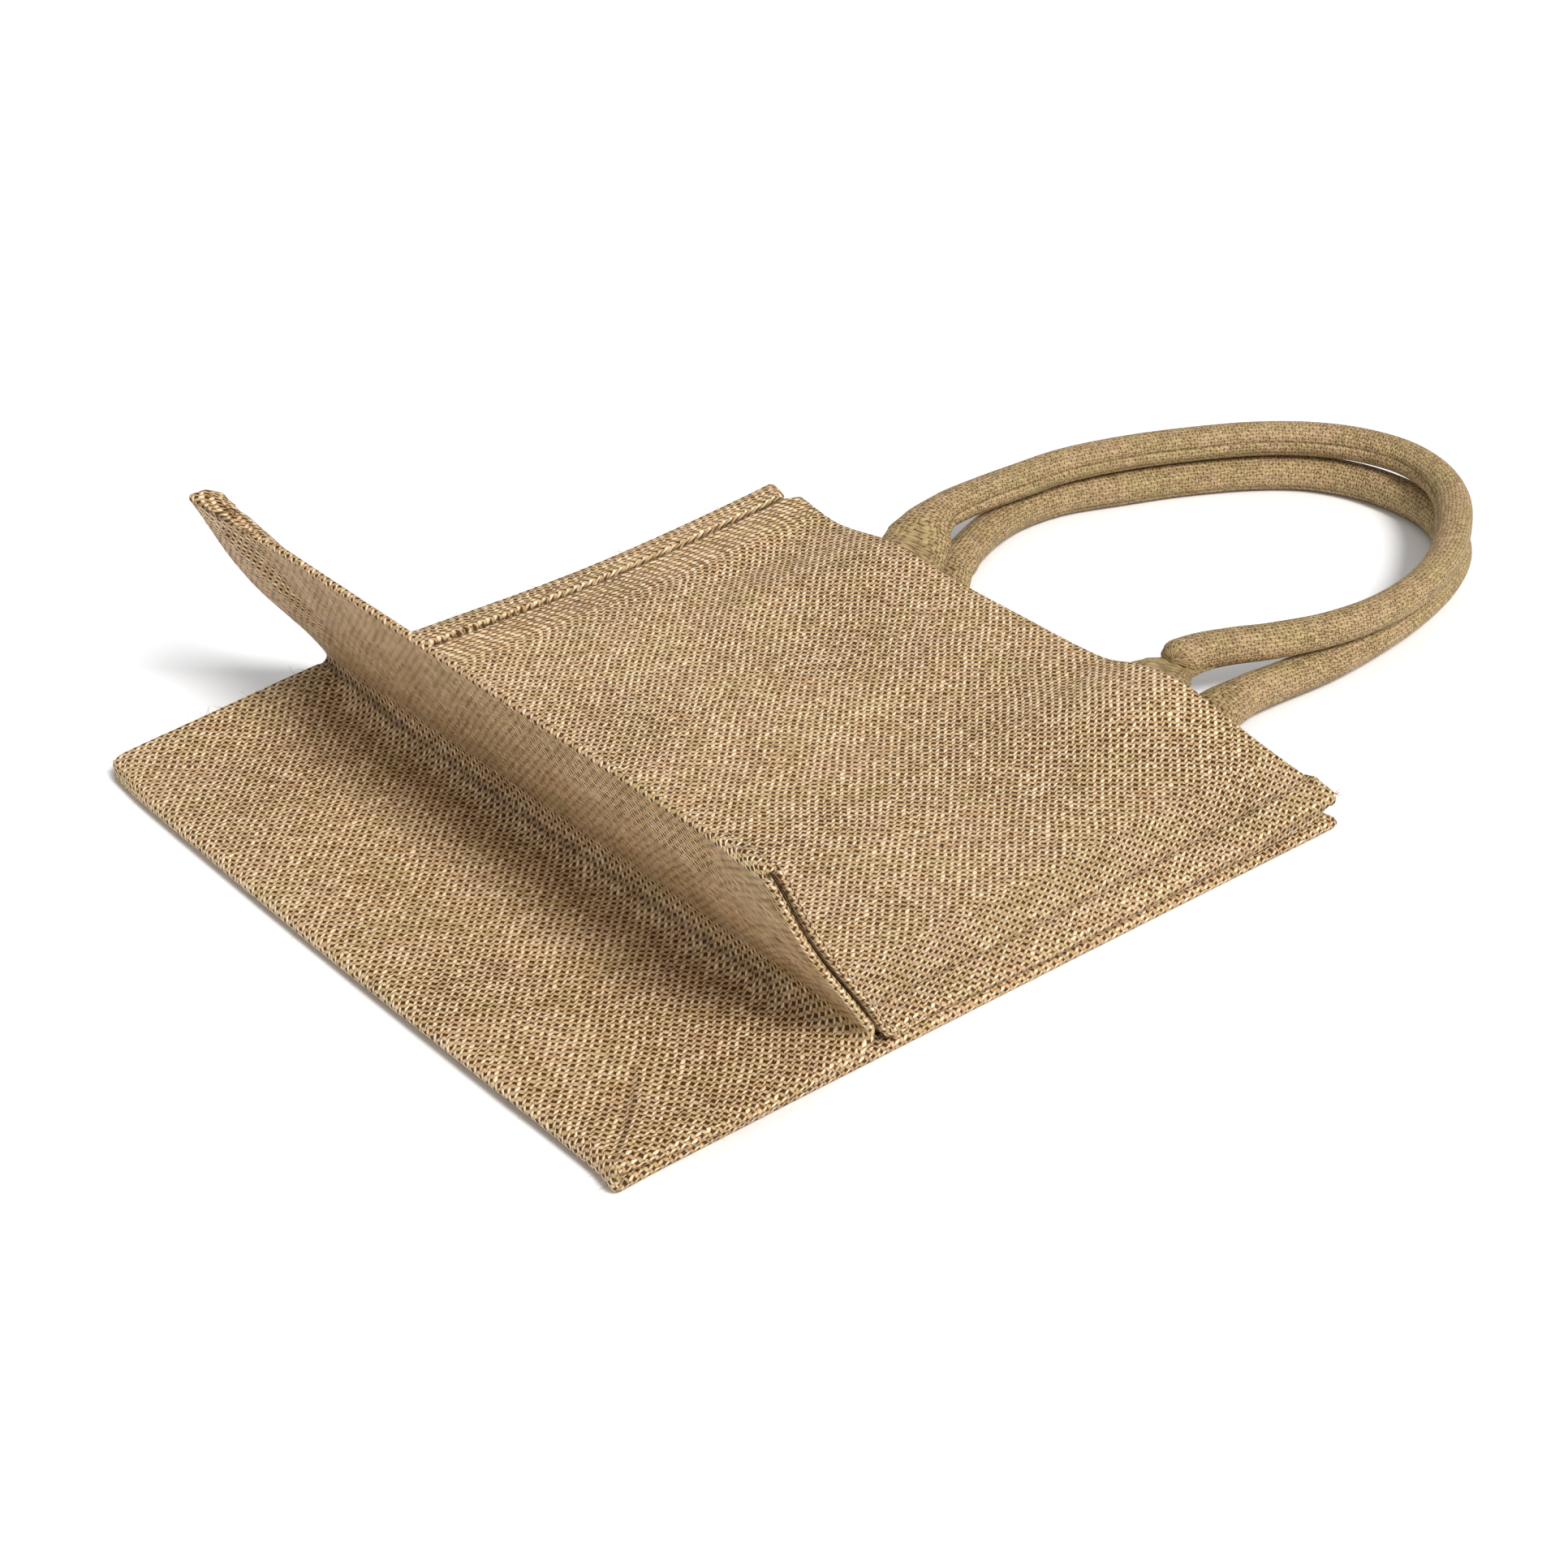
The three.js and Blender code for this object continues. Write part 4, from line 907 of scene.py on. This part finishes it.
class Socket:
    """A number that a node gives, with arithmetic."""

    def __init__(self, tree, value):
        self.tree = tree
        self.value = value

    __add__ = __radd__ = operation("ADD")
    __mul__ = __rmul__ = operation("MULTIPLY")
    __sub__ = operation("SUBTRACT")
    __truediv__ = operation("DIVIDE")
    floor = operation("FLOOR")
    fract = operation("FRACT")
    abs = operation("ABSOLUTE")
    sqrt = operation("SQRT")
    max = operation("MAXIMUM")
    min = operation("MINIMUM")
    above = operation("GREATER_THAN")

    def __rsub__(self, other):
        return Socket(self.tree, other) - self

    def ramp(self, low, high):
        """0 at low, 1 at high, smooth between."""
        inputs = {"Value": self, "From Min": low, "From Max": high}
        node = add_node(self.tree, "MapRange", inputs, interpolation_type="SMOOTHSTEP")
        return Socket(self.tree, node.outputs["Result"])

    def mix(self, a, b):
        """a where this is 0 and b where it is 1."""
        return a + (b - a) * self


def vector(tree, *parts):
    return add_node(tree, "CombineXYZ", dict(enumerate(parts))).outputs[0]


def noise(tree, place, scale, detail=2.0, rough=0.5):
    inputs = {"Vector": place, "Scale": scale, "Detail": detail, "Roughness": rough}
    return Socket(tree, add_node(tree, "TexNoise", inputs).outputs["Fac"])


def white(tree, *place):
    node = add_node(tree, "TexWhiteNoise", {"Vector": vector(tree, *place)}, noise_dimensions="3D")
    return Socket(tree, node.outputs["Value"])


def mix_colour(tree, share, a, b):
    return add_node(tree, "Mix", {0: share, 6: a, 7: b}, data_type="RGBA").outputs[2]


def new_material(name):
    material = bpy.data.materials.new(name)
    material.use_nodes = True
    material.node_tree.nodes.clear()
    return material, material.node_tree


def finish_material(material, colour, rough, specular, normal=None):
    inputs = {"Base Color": colour, "Roughness": rough, "Specular IOR Level": specular}
    if normal:
        inputs["Normal"] = normal
    shader = add_node(material.node_tree, "BsdfPrincipled", inputs)
    add_node(material.node_tree, "OutputMaterial", {0: shader.outputs[0]})
    return material


def crown(along, aside, long, half):
    """Height of a yarn's crown, an ellipsoid as long and as wide as given, in shares of the spacing."""
    share = 1.0 - (along / long) * (along / long) - (aside / half) * (aside / half)
    return share.max(0.0).sqrt()


# Scales are per mm of flat cloth, and a pair in a range is where something starts and where it is full
FAR_PLACE = (71.3, -33.1)  # a shift that makes a second, independent noise
WANDER_SCALES = (0.03, 0.3)
SWELL_SCALE = 0.16
YARN_STEP = 3.7  # from yarn to yarn in the noise
OPEN_SCALE = 0.011
OPEN_RANGE = (0.42, 0.62)
KNOT_RISE = 0.3
SEEDS = (0.37, 7.91, 3.3, 5.1)  # keep the random numbers of knots and of yarns, in both directions, apart
FINE_NOISE = (3.0, 0.6)  # detail and roughness
TWIST = (0.7, 1.1, 4.4, 0.9, 1.3)  # slanted fine noise: along and aside, aside and along, from yarn to yarn
TWIST_CONTRAST = 1.7
PATCH_SCALE = 0.045
# the height share of the tone is painted shade down each yarn's sides and painted highlight on its crown
TONE_SHARES = (0.58, 0.2, 0.14, 0.12, 0.09)  # of height, fibres, yarn, knot and patch
TONE_STEPS = (0.1, 0.46, 0.9)  # dark, middle and light
TINT_SCALE = 0.05
TINTS = ((0.64, 0.26, (0.42, 0.33, 0.13)), (0.38, 0.22, (0.56, 0.35, 0.22)))  # full at, strength, colour
# painted highlight on the yarn crowns along the folded edges: range of distance, and strength
FOLD_HIGHLIGHT_RANGE = (2.4, 0.7)
FOLD_HIGHLIGHT = 0.5
UNEVEN_SCALE = 0.3
UNEVEN_RANGE = (0.3, 0.6)
SEAM_CORE = 0.2  # share of the width over which a seam's or a crease's line is full
LINE_CORE = 0.15
# heights over which the painted shade in the gaps between the yarns gives way to the yarn colour
GAP_SHADE_RANGE = (-0.04, 0.24)
BUMP_SHARES = (0.7, 0.12)  # of height and fibres
WEAVE_DEPTH = 0.0006  # metres
WEAVE_ROUGHNESS = 0.62
WEAVE_GLOSS = 0.3


def weave_layers(tree, weave, flat, shifted, u, v):
    """Height of the weave, its fibres' light and dark, and the tone, each a number at a place of the flat cloth."""
    def wander(place):
        slow, quick = ((noise(tree, place, scale) - 0.5) * size for scale, size in zip(WANDER_SCALES, weave["wander"]))
        return slow + quick

    # yarn crossings are cells: b is for the yarns along u, with numbers j, and a for those along v, with numbers i
    a = (u + wander(flat)) / weave["pitch"][1]
    b = (v + wander(shifted)) / weave["pitch"][0]
    i, j = a.floor(), b.floor()
    in_a, in_b = a.fract() - 0.5, b.fract() - 0.5
    odd = ((i + j) * 0.5).fract().above(0.25)
    even = 1.0 - odd
    # a crown reaches past its own cell, so the cell beside it shows the end of the crown next door
    next_a = (in_a.above(0.0) * 2.0 - 1.0) * odd
    next_b = (in_b.above(0.0) * 2.0 - 1.0) * even
    knot_b = white(tree, i + next_a, j, SEEDS[0])
    knot_a = white(tree, i, j + next_b, SEEDS[1])
    # each yarn swells and thins along its length, and the cloth is more open in places
    swell_b = noise(tree, vector(tree, u * SWELL_SCALE, j * YARN_STEP), 1.0)
    swell_a = noise(tree, vector(tree, i * YARN_STEP, v * SWELL_SCALE), 1.0)
    fill = 1.0 - noise(tree, shifted, OPEN_SCALE).ramp(*OPEN_RANGE) * weave["open"]

    def yarns(k, along, aside, knot, swell):
        vary = weave["vary"] * 2.0 * (swell - 0.5) + weave["vary"] * (knot - 0.5)
        half = weave["half"][k] * fill * (1.0 + vary)
        high = crown(along, aside - along * weave["skew"][k], weave["long"][k], half)
        return high * weave["rise"][k] * (1.0 + KNOT_RISE * (knot - 0.5))

    def twist(along, aside, number):
        t = TWIST
        place = vector(tree, along * t[0] + aside * t[1], aside * t[2] - along * t[3], number * t[4])
        return noise(tree, place, 1.0, *FINE_NOISE)

    high_b = yarns(0, in_a - next_a, in_b, knot_b, swell_b)
    high_a = yarns(1, in_b - next_b, in_a, knot_a, swell_a)
    top = high_b.above(high_a)
    height = high_b.max(high_a)
    fibre = (top.mix(twist(v, u, i), twist(u, v, j)) - 0.5) * TWIST_CONTRAST + 0.5
    yarn_a = white(tree, i, 0.0, SEEDS[2]) * 0.5 + swell_a * 0.5
    yarn_b = white(tree, 0.0, j, SEEDS[3]) * 0.5 + swell_b * 0.5
    yarn = top.mix(yarn_a, yarn_b)
    knot = top.mix(knot_a, knot_b)
    patch = (noise(tree, flat, PATCH_SCALE, *FINE_NOISE) - 0.5) * 2.0
    # through the height share the tone paints shade down the yarns' sides and highlight on their crowns
    tone = 0.0
    for part, share in zip((height, fibre, yarn, knot, patch), TONE_SHARES):
        tone = part * share + tone
    return height, fibre, tone


def weave_material(name, weave, tones, shade_colour, shaded_seams=(), shaded_lines=(), highlit_folds_at=()):
    """Plain weave from the flat coordinates in mm: the crowns of yarns along u and of yarns along v take turns.

    In each pair of weave the first number is for the yarns along u and the second for those along v. tones are the
    dark, middle and light yarn colours. The fourth argument is the colour of painted shade in the gaps between the
    yarns, which is also painted along stitch grooves and flange edges, given as (v, width, strength, first u), and
    along creases, given as (u, v, u, v, width, strength). The last argument is the u of folded edges, whose crowns
    get a painted highlight.
    """
    material, tree = new_material(name)
    flat = add_node(tree, "UVMap", {}, uv_map="flat").outputs[0]
    split = add_node(tree, "SeparateXYZ", {0: flat})
    u, v = (Socket(tree, split.outputs[k]) for k in (0, 1))
    shifted = vector(tree, u + FAR_PLACE[0], v + FAR_PLACE[1])
    height, fibre, tone = weave_layers(tree, weave, flat, shifted, u, v)
    dark, middle, light = tones
    colour = mix_colour(tree, tone.ramp(*TONE_STEPS[:2]), dark, middle)
    colour = mix_colour(tree, tone.ramp(*TONE_STEPS[1:]), colour, light)
    tint = noise(tree, shifted, TINT_SCALE)
    for full, strength, other in TINTS:
        colour = mix_colour(tree, tint.ramp(0.5, full) * strength, colour, other)
    # painted highlight on the crowns along the folded edges
    for place in highlit_folds_at:
        colour = mix_colour(tree, (u - place).abs().ramp(*FOLD_HIGHLIGHT_RANGE) * height * FOLD_HIGHLIGHT, colour, light)
    uneven = noise(tree, flat, UNEVEN_SCALE).ramp(*UNEVEN_RANGE)
    # painted shade along stitch grooves and flange edges, broken up by noise
    for place, width, strength, first in shaded_seams:
        seam_shade = (v - place).abs().ramp(width, width * SEAM_CORE) * u.above(first) * uneven * strength
        colour = mix_colour(tree, seam_shade, colour, shade_colour)
    # painted shade along creases and folds, and one dark dot
    for u0, v0, u1, v1, width, strength in shaded_lines:
        du, dv = u1 - u0, v1 - v0
        share = (((u - u0) * du + (v - v0) * dv) / (du * du + dv * dv)).max(0.0).min(1.0)
        off_u, off_v = u - u0 - share * du, v - v0 - share * dv
        near = (off_u * off_u + off_v * off_v).sqrt().ramp(width, width * LINE_CORE)
        colour = mix_colour(tree, near * strength, colour, shade_colour)
    # painted shade in the gaps between the yarns, where the weave is low
    colour = mix_colour(tree, height.ramp(*GAP_SHADE_RANGE), shade_colour, colour)
    raised = height * BUMP_SHARES[0] + fibre * BUMP_SHARES[1]
    bump = add_node(tree, "Bump", {"Strength": 1.0, "Distance": WEAVE_DEPTH, "Height": raised})
    return finish_material(material, colour, WEAVE_ROUGHNESS, WEAVE_GLOSS, bump.outputs[0])


# The body's points, to which the fibres and the painted shade and highlight of creases, seam grooves and folds are
# tied
rows, points, flat_v = body_points()
flat_u = flat_lengths(points, rows)
crest_row = first_row(rows, "crest", CREST_MIDDLE)
CREST_U = float(flat_u[crest_row].mean())


def on_cloth(stretch, place):
    """Flat coordinates of the point of a stretch of cloth that is nearest to a place in the bag's axes."""
    chosen = np.array([row[0] == stretch for row in rows])
    away = np.sum((points[chosen] - np.array(place)) ** 2, axis=2)
    index = np.argmin(away)
    return float(flat_u[chosen].flat[index]), float(flat_v[chosen].flat[index])


SHADE_LINES_AND_DOT = (  # painted shade in creases, folds, a dent; a dark dot: stretch, from, to, width and strength
    ("base", (2, 4, 8), (35, 37, 8), 1.8, 0.26),
    ("base", (2, 288, 7), (34, 256, 7), 1.6, 0.2),
    ("foot", (97, 240, 7), (95, 289, 12), 2.6, 0.5),
    ("foot", (97, 40, 7), (97, 240, 7), 2.2, 0.35),
    ("crest", (49, 262, 92), (46, 286, 93), 1.2, 0.6),
    ("left", (71.4, 17.2, 45), (71.2, 18.4, 45.6), 1.5, 0.95),
)
JUTE_TONES = ((0.225, 0.108, 0.026), (0.505, 0.318, 0.15), (0.96, 0.76, 0.505))
# colour of the painted shade in the cloth's gaps, stitch grooves and creases
JUTE_SHADE = (0.045, 0.018, 0.003)
WEB_TONES = ((0.145, 0.088, 0.033), (0.29, 0.192, 0.087), (0.51, 0.362, 0.178))
# colour of the painted shade in the webbing's gaps and along its sewn edge
WEB_SHADE = (0.08, 0.045, 0.016)
# pitch in mm; half width, length, height and slant of a crown in shares of the pitch; how far the yarns wander in mm,
# slowly and quickly; how much the widths vary; and how much thinner the yarns are where the cloth is open
JUTE_WEAVE = {
    "pitch": (1.77, 1.80), "half": (0.39, 0.44), "long": (0.72, 0.64), "rise": (1.0, 0.6), "skew": (0.36, -0.25),
    "wander": (2.6, 1.8), "vary": 0.28, "open": 0.14,
}
WEB_YARNS = 28  # round the tube
WEB_WEAVE = {
    "pitch": (ROUND_LENGTH / WEB_YARNS, 1.4), "half": (0.42, 0.44), "long": (0.88, 0.72), "rise": (1.0, 0.9),
    "skew": (0.35, 0.2), "wander": (2.4, 2.4), "vary": 0.3, "open": 0.06,
}
cloth = weave_material(
    "jute_cloth", JUTE_WEAVE, JUTE_TONES, JUTE_SHADE,
    # painted shade on the side face of the near flange and in the near and far stitch grooves
    shaded_seams=((-2.4, 2.4, 0.45, CREST_U), (GROOVE, 2.8, 0.3, CREST_U), (WIDTH - GROOVE, 1.1, 0.85, CREST_U)),
    # painted shade in the base's creases, along the fold at the flap's foot and in the crest's dent, and a dark dot
    shaded_lines=[
        (*on_cloth(stretch, start), *on_cloth(stretch, end), width, strength)
        for stretch, start, end, width, strength in SHADE_LINES_AND_DOT
    ],
    # painted highlight on the crowns along the bottom fold and the crest
    highlit_folds_at=(0.0, CREST_U),
)
webbing = weave_material(
    "jute_webbing", WEB_WEAVE, WEB_TONES, WEB_SHADE,
    # painted shade in the sewn edge's groove and along the edge of the band beside it
    shaded_seams=((0.0, 0.8, 0.6, -1.0), (ROUND_LENGTH, 0.8, 0.6, -1.0), (4.8, 0.7, 0.6, -1.0)),
)

body = body_cloth(points, flat_u, flat_v, cloth)
gusset_near = gusset("jute_gusset_near", False, cloth)
gusset_far = gusset("jute_gusset_far", True, cloth)
lower_tube = sweep(LOWER_HANDLE, HANDLE_SEAM_LOWER)
upper_tube = sweep(UPPER_HANDLE, HANDLE_SEAM, rounded=True, on_hem=True)
upper_strap = sweep(UPPER_STRAP, HANDLE_SEAM, start=upper_tube[2] - STRAP_OVERLAP, on_hem=True)
lower_loop = handle("webbing_lower", [lower_tube], webbing)
upper_loop = handle("webbing_upper", [upper_tube, upper_strap], webbing)

# Stray fibres and frayed thread ends
FIBRE_SEED = 41
FIBRE_SIDES = 3
FIBRE_STEPS = 5
FIBRE = (0.06, 0.1)  # radius in mm, least and most
FIBRE_SPREAD = 0.45  # of their directions
FIBRE_BEND = 0.5
FIBRE_CLIMB = 0.2  # at most, of the bend
FIBRE_TAPER = 0.6
FIBRE_FLOOR = 0.4  # the lowest that they hang
FIBRE_SIDE = (0.31, 0.2, 0.93)  # any direction that none of them has
THREAD = 0.3  # from this radius on it is a thread end, thick in the middle
THREAD_TIP = 0.08
STRAY = (  # rows and columns of the body that they grow from, outward direction, how many, length
    ((60, -12), (12, 13), (0, -1, 0.2), 90, (2.0, 6.0)),  # near side edge
    ((60, -12), (-13, -12), (0, 1, 0.3), 60, (2.0, 6.0)),  # far side edge
    ((-10, -8), (14, -14), (1, 0, 0.4), 40, (1.5, 4.5)),  # upper mouth
    ((crest_row - 2, crest_row + 2), (14, -14), (-0.2, -0.3, 1), 60, (1.5, 5.0)),
    ((53, 58), (14, -14), (-1, -0.2, 0.3), 50, (1.5, 5.0)),  # bottom fold
    ((240, -14), (20, -20), (0.3, 0.2, 0.5), 90, (2.0, 6.0)),  # upper panel
)
FRAY_SPREAD = 0.5
FRAYED = (  # place, direction, how many, length, radius
    ((1.0, 0.5, 6.5), (-0.6, -0.6, 0.2), 16, (2.5, 6.0), 0.13),
    ((301.0, 16.9, 13.0), (1, -0.2, 0.1), 5, (1.5, 3.5), 0.13),
    ((218.3, 58.4, 11.9), (1, 0.1, 0.0), 1, (3.5, 3.6), 0.75),
    ((303.0, 2.5, 12.5), (1, -0.4, 0.1), 8, (1.5, 4.0), 0.12),
)


def fibre_tube(start, direction, length, radius, draw):
    """A thin curved hair as rings of points."""
    ahead = unit(np.array(direction, float) + draw.normal(0, FIBRE_SPREAD, 3))
    bend = draw.normal(0, FIBRE_BEND, 3)
    bend[2] = min(bend[2], FIBRE_CLIMB)
    side = unit(np.cross(ahead, FIBRE_SIDE))
    up = np.cross(ahead, side)
    rings = []
    for step in range(FIBRE_STEPS + 1):
        share = step / FIBRE_STEPS
        middle = start + ahead * length * share + bend * length * 0.5 * share**2
        middle[2] = max(middle[2], FIBRE_FLOOR)
        thin = radius * (1 - FIBRE_TAPER * share)
        if radius > THREAD:
            thin = radius * math.sqrt(max(1 - (2 * share - 1) ** 2, THREAD_TIP))
        for k in range(FIBRE_SIDES):
            turn = 2 * math.pi * k / FIBRE_SIDES
            rings.append(middle + thin * (side * math.cos(turn) + up * math.sin(turn)))
    return rings


def fibres(material):
    draw = np.random.default_rng(FIBRE_SEED)
    count, columns, _ = points.shape
    tubes = []
    for (row0, row1), (col0, col1), direction, number, (least, most) in STRAY:
        for _ in range(number):
            r = draw.integers(row0 % count, row1 % count)
            c = draw.integers(col0 % columns, col1 % columns)
            length, radius = draw.uniform(least, most), draw.uniform(*FIBRE)
            tubes.append(fibre_tube(points[r, c], direction, length, radius, draw))
    for place, direction, number, (least, most), radius in FRAYED:
        for _ in range(number):
            start = np.array(place) + (draw.normal(0, FRAY_SPREAD, 3) if number > 1 else 0)
            tubes.append(fibre_tube(start, direction, draw.uniform(least, most), radius, draw))
    verts, faces = [], []
    for tube in tubes:
        faces += grid_faces(FIBRE_STEPS + 1, FIBRE_SIDES, len(verts), ring=True)
        verts.extend(tube)
    return mesh_object("jute_fibres", verts, faces, np.zeros((len(verts), 2)), material)


SPECKLE_SCALE = 900.0  # per metre
SPECKLE_RANGE = (0.35, 0.65)


def matt_material(name, roughness, colour, second=None):
    """One colour, or two that change over about a millimetre, as from fibre to fibre."""
    material, tree = new_material(name)
    if second:
        place = add_node(tree, "TexCoord", {}).outputs["Object"]
        colour = mix_colour(tree, noise(tree, place, SPECKLE_SCALE).ramp(*SPECKLE_RANGE), colour, second)
    return finish_material(material, colour, roughness, 0.0)


hairs = fibres(matt_material("jute_fibre", 0.8, (0.42, 0.27, 0.12), (0.78, 0.6, 0.37)))

PIECES = (
    (body, "body_cloth", "jute_cloth", (0.318, 0.84)),
    (gusset_near, "gusset_near", "jute_cloth", (0.21, 0.33)),
    (gusset_far, "gusset_far", "jute_cloth", (0.21, 0.33)),
    (lower_loop, "handle_lower", "jute_webbing", None),
    (upper_loop, "handle_upper", "jute_webbing", None),
    (hairs, None, "jute_cloth", None),
)
for piece, node, slot, flat in PIECES:
    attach(piece, "root")
    if node:
        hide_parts(node)


# Floor, light and camera, which are not part of the object
FLOOR_HALF = 6.0  # metres
FLOOR_DROP = 0.0004
FLOOR_COLOUR = (0.93, 0.93, 0.93)
SKY = 0.55
KEY = 2.9
KEY_FROM = (-0.09, -0.84, 1.0)
KEY_WIDTH = 0.3  # radians


def make_key():
    """A soft distant light."""
    data = bpy.data.lights.new("key", "SUN")
    data.energy = KEY
    data.angle = KEY_WIDTH
    add_object("key", data).rotation_euler = (-Vector(KEY_FROM)).to_track_quat("-Z", "Y").to_euler()


def make_floor():
    mesh = bpy.data.meshes.new("floor")
    corners = [(x * FLOOR_HALF, y * FLOOR_HALF, 0) for x, y in ((-1, -1), (1, -1), (1, 1), (-1, 1))]
    mesh.from_pydata(corners, [], [(0, 1, 2, 3)])
    mesh.materials.append(matt_material("floor", 1.0, FLOOR_COLOUR))
    floor = add_object("floor", mesh)
    floor.location.z = -FLOOR_DROP


def make_world():
    world = bpy.data.worlds.new("studio")
    world.use_nodes = True
    background = world.node_tree.nodes["Background"]
    background.inputs[0].default_value = (1, 1, 1, 1)
    background.inputs[1].default_value = SKY
    bpy.context.scene.world = world


CAMERA_FORWARD = (0.5499, 0.6496, -0.5251)
CAMERA_UP = (0.3346, 0.4047, 0.851)
CAMERA_PLACE = (-412.6, -558.7, 564.2)
FOCAL_PIXELS = 3874.9
PICTURE = 1932  # pixels
SENSOR = 36  # mm
CLIP = (0.01, 50)  # metres


def make_camera():
    data = bpy.data.cameras.new("camera")
    data.sensor_width = SENSOR
    data.sensor_fit = "HORIZONTAL"
    data.lens = FOCAL_PIXELS / PICTURE * SENSOR
    data.clip_start, data.clip_end = CLIP
    camera = add_object("camera", data)
    forward = Vector(CAMERA_FORWARD).normalized()
    up = Vector(CAMERA_UP)
    side = forward.cross(up).normalized()
    up = side.cross(forward)
    turn = Matrix((side, up, -forward)).transposed()
    place = Vector((np.array(CAMERA_PLACE) - ORIGIN) * METRES)
    camera.matrix_world = Matrix.Translation(place) @ turn.to_4x4()
    bpy.context.scene.camera = camera


make_floor()
make_world()
make_key()
make_camera()
bpy.context.scene.view_settings.view_transform = "Standard"
